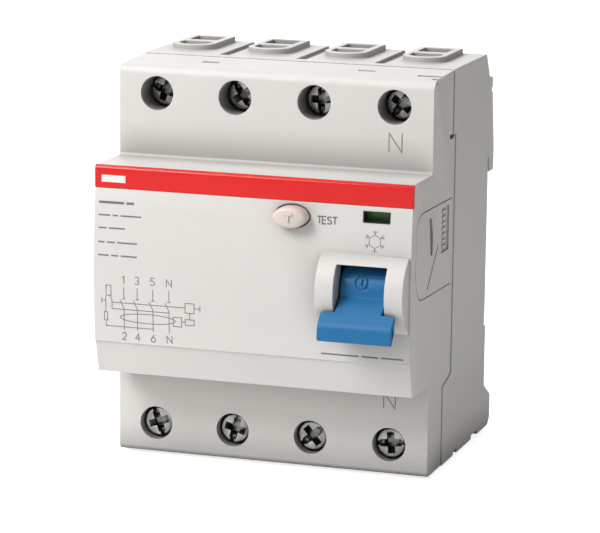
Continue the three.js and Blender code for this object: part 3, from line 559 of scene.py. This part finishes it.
def wrap_on_drum(solid, angle):
    for vert in solid.verts:
        u, v, w = vert.co
        a = angle + v / DRUM_R
        vert.co = PIVOT + Vector((u, -math.cos(a) * (DRUM_R + w), math.sin(a) * (DRUM_R + w)))
    bmesh.ops.recalc_face_normals(solid, faces=solid.faces)

def disc_cells(radius, count=40, rings=5):
    """Outlines of a disc from its middle outwards, so that it can bend with the drum."""
    radii = [radius * (k + 1) / rings for k in range(rings)]
    return [ring_outline(each, each, count) for each in radii]

def dent_cutter():
    solid = bmesh.new()
    ends = []
    for w in (-DENT_DEEP, 0.8 * MM):
        middle = solid.verts.new((0, 0, w))
        rows = [[solid.verts.new((u, v, w)) for u, v in line] for line in disc_cells(DENT_R)]
        for i in range(len(rows[0])):
            j = (i + 1) % len(rows[0])
            solid.faces.new((middle, rows[0][i], rows[0][j]))
            for inner, outer in zip(rows, rows[1:]):
                solid.faces.new((inner[i], outer[i], outer[j], inner[j]))
        ends.append(rows[-1])
    for i in range(len(ends[0])):
        j = (i + 1) % len(ends[0])
        solid.faces.new((ends[0][i], ends[0][j], ends[1][j], ends[1][i]))
    bmesh.ops.translate(solid, vec=(MARK_X, 0, 0), verts=solid.verts)
    wrap_on_drum(solid, ZERO_ANGLE)
    return solid

def zero_mark():
    solid = bmesh.new()
    outer, inner = ring_outline(0.78 * MM, 1.2 * MM), ring_outline(0.36 * MM, 0.76 * MM)
    band_between(solid, outer, inner, (MARK_SUNK, 0.06 * MM))
    bmesh.ops.translate(solid, vec=(MARK_X, 0, 0), verts=solid.verts)
    wrap_on_drum(solid, ZERO_ANGLE)
    return new_piece("mark_off", solid)

def one_mark():
    half_wide, half_high, cells = 0.25 * MM, 1.2 * MM, 6
    rows = [half_high * (2 * t / cells - 1) for t in range(cells + 1)]
    outline = [(half_wide, v) for v in rows] + [(-half_wide, v) for v in reversed(rows)]
    solid = bmesh.new()
    plate(solid, outline, (MARK_SUNK, 0.16 * MM))
    bmesh.ops.translate(solid, vec=(MARK_X, 0, 0), verts=solid.verts)
    wrap_on_drum(solid, ONE_ANGLE)
    return new_piece("mark_on", solid)

# %% Cut one solid from another
def cut(piece, cutter_solid):
    bmesh.ops.recalc_face_normals(cutter_solid, faces=cutter_solid.faces)
    cutter = new_piece("cutter", cutter_solid)
    trim = piece.modifiers.new("cut", "BOOLEAN")
    trim.operation, trim.solver, trim.object = "DIFFERENCE", "EXACT", cutter
    apply_modifiers(piece)
    bpy.data.objects.remove(cutter)

# %% Toggle with its two marks
toggle = new_piece("blue_toggle", merged_copy("toggle_lever"))
cut(toggle, dent_cutter())
add_rounding(toggle, 0.2 * MM, angle=35)
finish_piece(settle(toggle), LEVER, "toggle", "lever", "toggle_lever")
for mark in (zero_mark(), one_mark()):
    add_rounding(mark, 0.05 * MM)
    finish_piece(settle(mark), LEVER, "toggle", "lever")

# %% [markdown]
# ## Test button
# The button is a low dome with a pointed oval outline, a flange behind it that keeps it in the
# case, and a raised T. Rings of the outline, shrunk step by step along a rounded profile, give a
# smoother dome than a cut sphere would, and the same outline keeps an even gap to the case.

# %% Dome of the button
BUTTON_AT = (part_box("test_button")[0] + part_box("test_button")[1]) / 2
BUTTON_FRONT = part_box("test_button")[0].y
DOME = [(1, 7.6), (1, 1.2), (0.985, 0.88), (0.95, 0.62), (0.89, 0.42), (0.79, 0.26),
        (0.64, 0.14), (0.44, 0.06), (0.22, 0.015)]
OVAL_HALF = (3.7 * MM, 2.2 * MM)

def oval(count=72):
    points = []
    for i in range(count):
        c, s = math.cos(math.tau * i / count), math.sin(math.tau * i / count)
        u, v = math.copysign(abs(c) ** 0.92, c), math.copysign(abs(s) ** 1.12, s)
        points.append((u * OVAL_HALF[0], v * OVAL_HALF[1]))
    return points

def button_dome():
    solid = bmesh.new()
    rings = []
    for share, depth in DOME:
        y = BUTTON_FRONT + depth * MM
        places = [(BUTTON_AT.x + u * share, y, BUTTON_AT.z + v * share) for u, v in oval()]
        rings.append([solid.verts.new(place) for place in places])
    for first, second in zip(rings, rings[1:]):
        for i in range(len(first)):
            j = (i + 1) % len(first)
            solid.faces.new((first[i], first[j], second[j], second[i]))
    tip = solid.verts.new((BUTTON_AT.x, BUTTON_FRONT, BUTTON_AT.z))
    last = rings[-1]
    for i in range(len(last)):
        solid.faces.new((last[i], last[(i + 1) % len(last)], tip))
    solid.faces.new(rings[0])
    bmesh.ops.recalc_face_normals(solid, faces=solid.faces)
    return solid

def box_solid(solid, low, high):
    corners = [solid.verts.new((x, y, z)) for x in (low[0], high[0])
               for y in (low[1], high[1]) for z in (low[2], high[2])]
    for face in ((0, 1, 3, 2), (4, 6, 7, 5), (0, 4, 5, 1), (2, 3, 7, 6), (0, 2, 6, 4), (1, 5, 7, 3)):
        solid.faces.new([corners[i] for i in face])

FLANGE_HALF = (4.8 * MM, 3.1 * MM)
FLANGE_Y = (-55 * MM, -54 * MM)
dome = button_dome()
box_solid(dome, (BUTTON_AT.x - FLANGE_HALF[0], FLANGE_Y[0], BUTTON_AT.z - FLANGE_HALF[1]),
          (BUTTON_AT.x + FLANGE_HALF[0], FLANGE_Y[1], BUTTON_AT.z + FLANGE_HALF[1]))
bmesh.ops.recalc_face_normals(dome, faces=dome.faces)
finish_piece(settle(new_piece("button_cap", dome)), BUTTON, "button", "button", "test_button")

# %% [markdown]
# ## Prints
# The signs are pad-printed, a few hundredths of a millimetre thick, on a nose that is slightly
# crowned. Each stroke is a narrow ribbon, cut into short lengths and laid on the surface by
# casting a ray at it, so it follows the crown. It is sunk a little, so that no gap shows. Only
# generic signs are kept: terminal numbers, N, TEST, a circuit sketch and a cold-weather star.
# Ratings are plain bars with no letters, and the band carries a plain bar instead of a mark.

# %% Lay strokes on the case
target = merged_copy("front_cover")
CASE_SURFACE = BVHTree.FromBMesh(target)
target.free()
INK_RISE, INK_SINK = 0.025 * MM, 0.05 * MM
LINE, THIN_LINE = 0.14 * MM, 0.11 * MM

def surface_y(x, z, tree=CASE_SURFACE):
    hit = tree.ray_cast(Vector((x, -0.2, z)), Vector((0, 1, 0)))
    return hit[0].y

def ribbon(solid, points, width, tree=CASE_SURFACE, closed=False, step=0.9 * MM, rise=INK_RISE):
    """A stroke of this width through the points, given as (x, z) in metres."""
    points = [Vector(p) for p in points]
    if closed:
        points = points + [points[0]]
    fine = []
    for a, b in zip(points, points[1:]):
        cuts = max(1, math.ceil((b - a).length / step))
        fine += [a.lerp(b, i / cuts) for i in range(cuts)]
    if not closed:
        fine.append(points[-1])
    count = len(fine)
    rows = []
    for i, point in enumerate(fine):
        before = fine[i - 1] if closed or i else point
        after = fine[(i + 1) % count] if closed or i + 1 < count else point
        along = (after - before).normalized()
        incoming = (point - before).normalized() if point != before else along
        side = Vector((-along.y, along.x))
        side *= width / 2 / max(0.5, abs(Vector((-incoming.y, incoming.x)).dot(side)))
        edge = [point + side, point - side]
        rows.append([[solid.verts.new((p.x, surface_y(p.x, p.y, tree) + dy, p.y))
                      for dy in (-rise, INK_SINK)] for p in edge])
    pairs = list(zip(rows, rows[1:])) + ([(rows[-1], rows[0])] if closed else [])
    for a, b in pairs:
        solid.faces.new((a[0][0], b[0][0], b[1][0], a[1][0]))
        solid.faces.new((a[1][1], b[1][1], b[0][1], a[0][1]))
        solid.faces.new((a[0][1], b[0][1], b[0][0], a[0][0]))
        solid.faces.new((a[1][0], b[1][0], b[1][1], a[1][1]))
    if not closed:
        solid.faces.new((rows[0][0][0], rows[0][1][0], rows[0][1][1], rows[0][0][1]))
        solid.faces.new((rows[-1][0][1], rows[-1][1][1], rows[-1][1][0], rows[-1][0][0]))

# %% A stroke alphabet of the few signs that are needed
def arc(cx, cz, rx, rz, start, stop, count=8):
    turns = [math.radians(start + (stop - start) * i / count) for i in range(count + 1)]
    return [(cx + rx * math.cos(a), cz + rz * math.sin(a)) for a in turns]

SIGNS = {
    "N": [[(0, 0), (0, 1), (0.7, 0), (0.7, 1)]],
    "T": [[(0, 1), (0.7, 1)], [(0.35, 1), (0.35, 0)]],
    "E": [[(0.6, 1), (0, 1), (0, 0), (0.6, 0)], [(0, 0.52), (0.52, 0.52)]],
    "S": [arc(0.32, 0.75, 0.28, 0.25, 20, 270) + arc(0.32, 0.25, 0.3, 0.25, 90, -160)],
    "1": [[(0.12, 0.78), (0.36, 1), (0.36, 0)]],
    "2": [arc(0.32, 0.7, 0.28, 0.3, 165, -35) + [(0.03, 0), (0.62, 0)]],
    "3": [arc(0.3, 0.75, 0.26, 0.25, 150, -90) + arc(0.3, 0.25, 0.3, 0.25, 90, -150)],
    "4": [[(0.46, 0), (0.46, 1), (0, 0.28), (0.64, 0.28)]],
    "5": [[(0.58, 1), (0.1, 1), (0.06, 0.56)] + arc(0.3, 0.32, 0.3, 0.32, 120, -150)],
    "6": [[(0.5, 0.98), (0.16, 0.6)] + arc(0.32, 0.3, 0.3, 0.3, 160, -200, 12)],
}

def write(solid, text, x, z, height, width, spacing=0.95):
    """Signs from (x, z), the lower left corner, of this height and stroke width."""
    for letter in text:
        for stroke in SIGNS.get(letter, []):
            ribbon(solid, [(x + u * height, z + v * height) for u, v in stroke], width)
        x += height * spacing

def bars(solid, x, z, lengths, height, gap=0.55 * MM):
    """Plain bars that stand for words."""
    for length in lengths:
        ribbon(solid, [(x, z), (x + length * MM, z)], height)
        x += length * MM + gap

# %% Circuit sketch
def strokes(solid, *lines, closed=False):
    for line in lines:
        ribbon(solid, [(x * MM, z * MM) for x, z in line], LINE, closed=closed)

def frame_of(low, high):
    return [low, (high[0], low[1]), high, (low[0], high[1])]

SKETCH_X = [-27.9, -24.9, -21.4, -17.8]

def circuit_sketch(solid):
    for x in SKETCH_X:
        strokes(solid, [(x, -3.2), (x, -5.7)], [(x - 0.4, -5.7), (x + 0.4, -5.7)],
                [(x - 0.9, -5.9), (x, -7.7), (x, -12.4)])
    strokes(solid, [(-30.6, -6.6), (-14.2, -6.6)], [(-30.6, -8.0), (-17.8, -8.0)],
            [(-30.6, -8.0), (-30.6, -6.2), (-31.0, -5.2)], [(-32.9, -6.3), (-32.0, -6.3)],
            [(-32.9, -5.7), (-32.9, -6.9)], [(-32.0, -5.4), (-32.0, -8.8)],
            [(-32.0, -10.6), (-32.0, -11.8), (-21.4, -11.8)], [(-12.2, -6.6), (-10.9, -6.6)],
            [(-10.9, -5.9), (-10.9, -7.3)], [(-13.2, -7.7), (-13.2, -9.0)],
            [(-15.0, -9.7), (-14.2, -9.7)])
    strokes(solid, frame_of((-31.9, -5.2), (-30.8, -3.0)), frame_of((-32.35, -10.6), (-31.65, -8.8)),
            frame_of((-14.2, -7.7), (-12.2, -5.6)), frame_of((-16.9, -10.8), (-15.0, -8.8)),
            frame_of((-14.2, -10.3), (-12.2, -9.1)), arc(-22.6, -9.7, 6.2, 1.0, 0, 345, 30),
            closed=True)

# %% Grey prints
def cold_star(solid, x, z, radius):
    middle = Vector((x, z))
    spokes = []
    for i in range(6):
        a = math.tau * i / 6
        spokes.append((Vector((math.sin(a), math.cos(a))), Vector((math.cos(a), -math.sin(a)))))
    ribbon(solid, [middle + out * radius * 0.6 for out, _ in spokes], THIN_LINE, closed=True)
    for out, across in spokes:
        ribbon(solid, [middle + out * radius * 0.6, middle + out * radius], THIN_LINE)
        for side in (-1, 1):
            tip = middle + out * radius * 0.92 + across * side * radius * 0.2
            ribbon(solid, [middle + out * radius * 0.72, tip], THIN_LINE)

BAR_ROWS = [(14.6, (5.6, 1.7), 0.5), (11.9, (2.6, 1.2, 4.6), 0.3), (9.2, (1.8, 3.6), 0.3),
            (6.2, (1.4, 1.8, 4.4), 0.3), (3.4, (2.4, 1.6, 3.6), 0.3)]
grey = bmesh.new()
write(grey, "N", 25.2 * MM, 26.6 * MM, 4.0 * MM, 0.2 * MM)
write(grey, "N", 25.0 * MM, -28.2 * MM, 3.6 * MM, 0.2 * MM)
write(grey, "TEST", 14.4 * MM, 13.35 * MM, 1.45 * MM, 0.27 * MM, spacing=0.76)
cold_star(grey, 26.9 * MM, 10.4 * MM, 2.3 * MM)
for z, lengths, height in BAR_ROWS:
    bars(grey, -33.7 * MM, z * MM, lengths, height * MM)
bars(grey, 15.6 * MM, -13.9 * MM, (8.2, 3.6, 4.8), 0.3 * MM)
for i, x in enumerate(SKETCH_X):
    write(grey, "135N"[i], (x - 0.55) * MM, -2.4 * MM, 1.6 * MM, 0.17 * MM)
    write(grey, "246N"[i], (x - 0.55) * MM, -14.6 * MM, 1.6 * MM, 0.17 * MM)
circuit_sketch(grey)
bmesh.ops.recalc_face_normals(grey, faces=grey.faces)
finish_piece(settle(new_piece("grey_prints", grey)), INK, "housing", "insulator")

# %% White bar on the band
band = merged_copy("accent_band")
BAND_SURFACE = BVHTree.FromBMesh(band)
band.free()
white = bmesh.new()
ribbon(white, [(-33.2 * MM, 19.6 * MM), (-27.9 * MM, 19.6 * MM)], 1.5 * MM, tree=BAND_SURFACE)
bmesh.ops.recalc_face_normals(white, faces=white.faces)
finish_piece(settle(new_piece("white_bar", white)), WHITE_INK, "housing", "housing")

# %% Raised T on the button
cap = bmesh.new()
cap.from_mesh(bpy.data.objects["button_cap"].data)
CAP_SURFACE = BVHTree.FromBMesh(cap)
cap.free()
LETTER_LINE, LETTER_STEP, LETTER_RISE = 0.42 * MM, 0.2 * MM, 0.3 * MM
T_ARM, T_TOP, T_FOOT = 0.9 * MM, 0.78 * MM, -0.9 * MM

def letter_stroke(solid, *ends):
    points = [(BUTTON_AT.x + u, BUTTON_AT.z + v) for u, v in ends]
    ribbon(solid, points, LETTER_LINE, tree=CAP_SURFACE, step=LETTER_STEP, rise=LETTER_RISE)

raised = bmesh.new()
letter_stroke(raised, (-T_ARM, T_TOP), (T_ARM, T_TOP))
letter_stroke(raised, (0, T_TOP - LETTER_LINE / 3), (0, T_FOOT))
for vert in raised.verts:
    vert.co.y = max(vert.co.y, BUTTON_FRONT - 0.3 * MM)
bmesh.ops.recalc_face_normals(raised, faces=raised.faces)
letter = new_piece("button_letter", raised)
add_rounding(letter, 0.05 * MM)
finish_piece(settle(letter), BUTTON, "button", "button")

# %% [markdown]
# ## Terminal screws
# Each terminal has a plated screw with a combination recess, a cross with a slot through it, so
# that either driver fits. The head is turned from a profile and cut by the shape of the driver.
# The thread repeats along a helix, and all eight screws are alike but for length and the angle
# at which they stopped, which is what Geometry Nodes are good at: one tree, eight settings.

# %% Head with its recess
HEAD_R, HEAD_T = 3.3 * MM, 2.6 * MM
CORE_R, CREST_R, PITCH_LEN = 1.95 * MM, 2.28 * MM, 0.8 * MM

def turned(profile, count=48):
    """A closed solid turned about Z from (radius, height) points that start and end on the axis."""
    solid = bmesh.new()
    rings = []
    turns = [math.tau * i / count for i in range(count)]
    for radius, z in profile[1:-1]:
        places = [(radius * math.cos(a), radius * math.sin(a), z) for a in turns]
        rings.append([solid.verts.new(place) for place in places])
    for first, second in zip(rings, rings[1:]):
        for i in range(count):
            j = (i + 1) % count
            solid.faces.new((first[i], first[j], second[j], second[i]))
    for ring, (_, z) in ((rings[0], profile[0]), (rings[-1], profile[-1])):
        pole = solid.verts.new((0, 0, z))
        for i in range(count):
            solid.faces.new((ring[i], ring[(i + 1) % count], pole))
    bmesh.ops.recalc_face_normals(solid, faces=solid.faces)
    return solid

def wedge(solid, half_long, half_wide, depth, taper):
    """A cutter that narrows towards its bottom, from just above the head's face down to depth."""
    top, low = -0.3 * MM, depth
    outline = [(-1, -1), (1, -1), (1, 1), (-1, 1)]
    first = [solid.verts.new((u * half_long, v * half_wide, top)) for u, v in outline]
    second = [solid.verts.new((u * half_long * taper, v * half_wide * 0.8, low)) for u, v in outline]
    solid.faces.new(first)
    solid.faces.new(second[::-1])
    for i in range(4):
        j = (i + 1) % 4
        solid.faces.new((first[j], first[i], second[i], second[j]))

def screw_head():
    edge = 0.35 * MM
    profile = [(0, 0), (HEAD_R - 1.3 * edge, 0), (HEAD_R - 0.45 * edge, 0.3 * edge),
               (HEAD_R, 1.2 * edge), (HEAD_R, HEAD_T - 0.2 * edge), (HEAD_R - 0.2 * edge, HEAD_T),
               (CORE_R, HEAD_T), (0, HEAD_T)]
    head = new_piece("screw_head", turned(profile))
    slot = bmesh.new()
    wedge(slot, 4 * MM, 0.5 * MM, 1.1 * MM, 1.0)
    cut(head, slot)
    for angle in (0, math.pi / 2):
        arm = bmesh.new()
        wedge(arm, 2.5 * MM, 0.8 * MM, 2.1 * MM, 0.5)
        bmesh.ops.rotate(arm, matrix=Matrix.Rotation(angle, 3, "Z"), verts=arm.verts)
        cut(head, arm)
    tidy = bmesh.new()
    tidy.from_mesh(head.data)
    bmesh.ops.remove_doubles(tidy, verts=tidy.verts, dist=0.005 * MM)
    bmesh.ops.dissolve_limit(tidy, angle_limit=FLAT_TO, verts=tidy.verts, edges=tidy.edges)
    tidy.to_mesh(head.data)
    tidy.free()
    add_rounding(head, 0.07 * MM, angle=35)
    settle(head)
    head.hide_render = head.hide_viewport = True
    return head

# %% Tree of the screw
def sockets(tree, *inputs):
    for label, kind in inputs:
        tree.interface.new_socket(label, in_out="INPUT", socket_type=kind)
    tree.interface.new_socket("Geometry", in_out="OUTPUT", socket_type="NodeSocketGeometry")
    return tree.nodes.new("NodeGroupInput").outputs, tree.nodes.new("NodeGroupOutput").inputs

def node(tree, kind, **values):
    made = tree.nodes.new(kind)
    for label, value in values.items():
        socket = made.inputs[label.replace("_", " ")]
        if isinstance(value, bpy.types.NodeSocket):
            tree.links.new(value, socket)
        else:
            socket.default_value = value
    return made

def screw_tree():
    tree = bpy.data.node_groups.new("terminal screw", "GeometryNodeTree")
    given, put = sockets(tree, ("Head", "NodeSocketObject"), ("Length", "NodeSocketFloat"),
                         ("Thread Turns", "NodeSocketFloat"), ("Turn", "NodeSocketFloat"),
                         ("Place", "NodeSocketVector"), ("Finish", "NodeSocketMaterial"))
    head = node(tree, "GeometryNodeObjectInfo", Object=given["Head"]).outputs["Geometry"]
    reach = tree.nodes.new("ShaderNodeMath")
    reach.operation, reach.inputs[1].default_value = "SUBTRACT", HEAD_T
    tree.links.new(given["Length"], reach.inputs[0])
    core = node(tree, "GeometryNodeMeshCylinder", Vertices=32, Radius=CORE_R, Depth=reach.outputs[0])
    half = tree.nodes.new("ShaderNodeMath")
    half.operation = "MULTIPLY_ADD"
    half.inputs[1].default_value, half.inputs[2].default_value = 0.5, HEAD_T
    tree.links.new(reach.outputs[0], half.inputs[0])
    lift = node(tree, "ShaderNodeCombineXYZ", Z=half.outputs[0])
    core = node(tree, "GeometryNodeTransform", Geometry=core.outputs["Mesh"],
                Translation=lift.outputs[0])
    rise = tree.nodes.new("ShaderNodeMath")
    rise.operation, rise.inputs[1].default_value = "MULTIPLY", PITCH_LEN
    tree.links.new(given["Thread Turns"], rise.inputs[0])
    middle = (CORE_R + CREST_R) / 2
    helix = node(tree, "GeometryNodeCurveSpiral", Resolution=28, Rotations=given["Thread Turns"],
                 Start_Radius=middle, End_Radius=middle, Height=rise.outputs[0])
    profile = node(tree, "GeometryNodeCurvePrimitiveCircle", Resolution=5,
                   Radius=(CREST_R - CORE_R) * 0.62)
    thread = node(tree, "GeometryNodeCurveToMesh", Curve=helix.outputs["Curve"],
                  Profile_Curve=profile.outputs["Curve"], Fill_Caps=True)
    thread = node(tree, "GeometryNodeTransform", Geometry=thread.outputs["Mesh"],
                  Translation=(0, 0, HEAD_T + 0.9 * MM))
    joined = tree.nodes.new("GeometryNodeJoinGeometry")
    for geometry in (head, core.outputs["Geometry"], thread.outputs["Geometry"]):
        tree.links.new(geometry, joined.inputs["Geometry"])
    angle = node(tree, "ShaderNodeCombineXYZ", X=-math.pi / 2, Y=given["Turn"])
    placed = node(tree, "GeometryNodeTransform", Geometry=joined.outputs["Geometry"],
                  Translation=given["Place"], Rotation=angle.outputs[0])
    real = node(tree, "GeometryNodeRealizeInstances", Geometry=placed.outputs["Geometry"])
    painted = node(tree, "GeometryNodeSetMaterial", Geometry=real.outputs["Geometry"],
                   Material=given["Finish"])
    tree.links.new(painted.outputs["Geometry"], put["Geometry"])
    return tree

def grown(name, tree, values):
    """Runs a Geometry Nodes tree with these inputs and returns its result as a plain mesh object."""
    piece = bpy.data.objects.new(name, bpy.data.meshes.new(name))
    bpy.context.collection.objects.link(piece)
    growth = piece.modifiers.new("growth", "NODES")
    growth.node_group = tree
    for item in tree.interface.items_tree:
        if item.in_out == "INPUT" and item.name in values:
            growth[item.identifier] = values[item.name]
    apply_modifiers(piece)
    return piece

# %% Eight screws
SCREW = screw_tree()
head = screw_head()
for end, first_turn in (("top", 20), ("bottom", 70)):
    for pole in POLES:
        low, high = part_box(f"terminal_screw_{end}_{pole}")
        length = high.y - low.y
        values = {"Head": head, "Length": length, "Finish": ZINC,
                  "Thread Turns": (length - HEAD_T - 1.9 * MM) / PITCH_LEN,
                  "Turn": math.radians(first_turn + 35 * (pole - 1)),
                  "Place": ((low.x + high.x) / 2, low.y, (low.z + high.z) / 2)}
        screw = grown(f"screw_{end}_{pole}", SCREW, values)
        finish_piece(settle(screw), ZINC, f"screw_{end}_{pole}", "zinc",
                     f"terminal_screw_{end}_{pole}")
bpy.data.objects.remove(head)

# %% [markdown]
# ## Inner pieces
# Behind the covers are the clamps, the current path, the summation ring and the mechanism. Most
# are stampings and mouldings, so a rounded copy of the node in the right finish is enough. Bent
# leads, the winding, the spring and the resistor are round already, so their nodes stay as they
# are and only get their finish.

# %% Clamps and current path
for pole in POLES:
    for end in ("top", "bottom"):
        rounded(f"clamp_{end}_{pole}", f"clamp_cage_{end}_{pole}", 0.15 * MM, ZINC,
                f"cage_{end}_{pole}", "zinc")
    rounded(f"fixed_blade_{pole}", f"fixed_contact_{pole}", 0.12 * MM, COPPER, "housing", "copper")
    rounded(f"moving_arm_{pole}", f"moving_contact_{pole}", 0.12 * MM, COPPER,
            "contact_shaft", "copper")
    frame["nodes"][f"load_conductor_{pole}"].data.materials[0] = COPPER

# %% Mechanism
for name, node_name, width, material, body, slot_name in (
        ("contact_shaft_moulding", "contact_carrier", 0.12, DARK, "contact_shaft", "insulator"),
        ("drive_link_strip", "drive_link", 0.1, STEEL, "link", "steel"),
        ("mechanism_plates", "mechanism_frame", 0.08, STEEL, "housing", "steel"),
        ("trip_arm", "trip_lever", 0.12, DARK, "trip_arm", "insulator"),
        ("relay_case", "trip_relay", 0.25, DARK, "housing", "insulator"),
        ("relay_pin", "relay_plunger", 0.15, STEEL, "plunger", "steel"),
        ("pivot_pin", "toggle_pin", 0.15, STEEL, "housing", "steel"),
        ("test_spring_blade", "test_blade", 0.06, COPPER, "blade", "copper"),
        ("flag_plate", "status_flag", 0.12, FLAG, "flag", "flag")):
    rounded(name, node_name, width * MM, material, body, slot_name)
for node_name, material in (("summation_ring", DARK), ("sensing_winding", ENAMEL),
                            ("opening_spring", STEEL), ("test_resistor", CERAMIC)):
    frame["nodes"][node_name].data.materials[0] = material
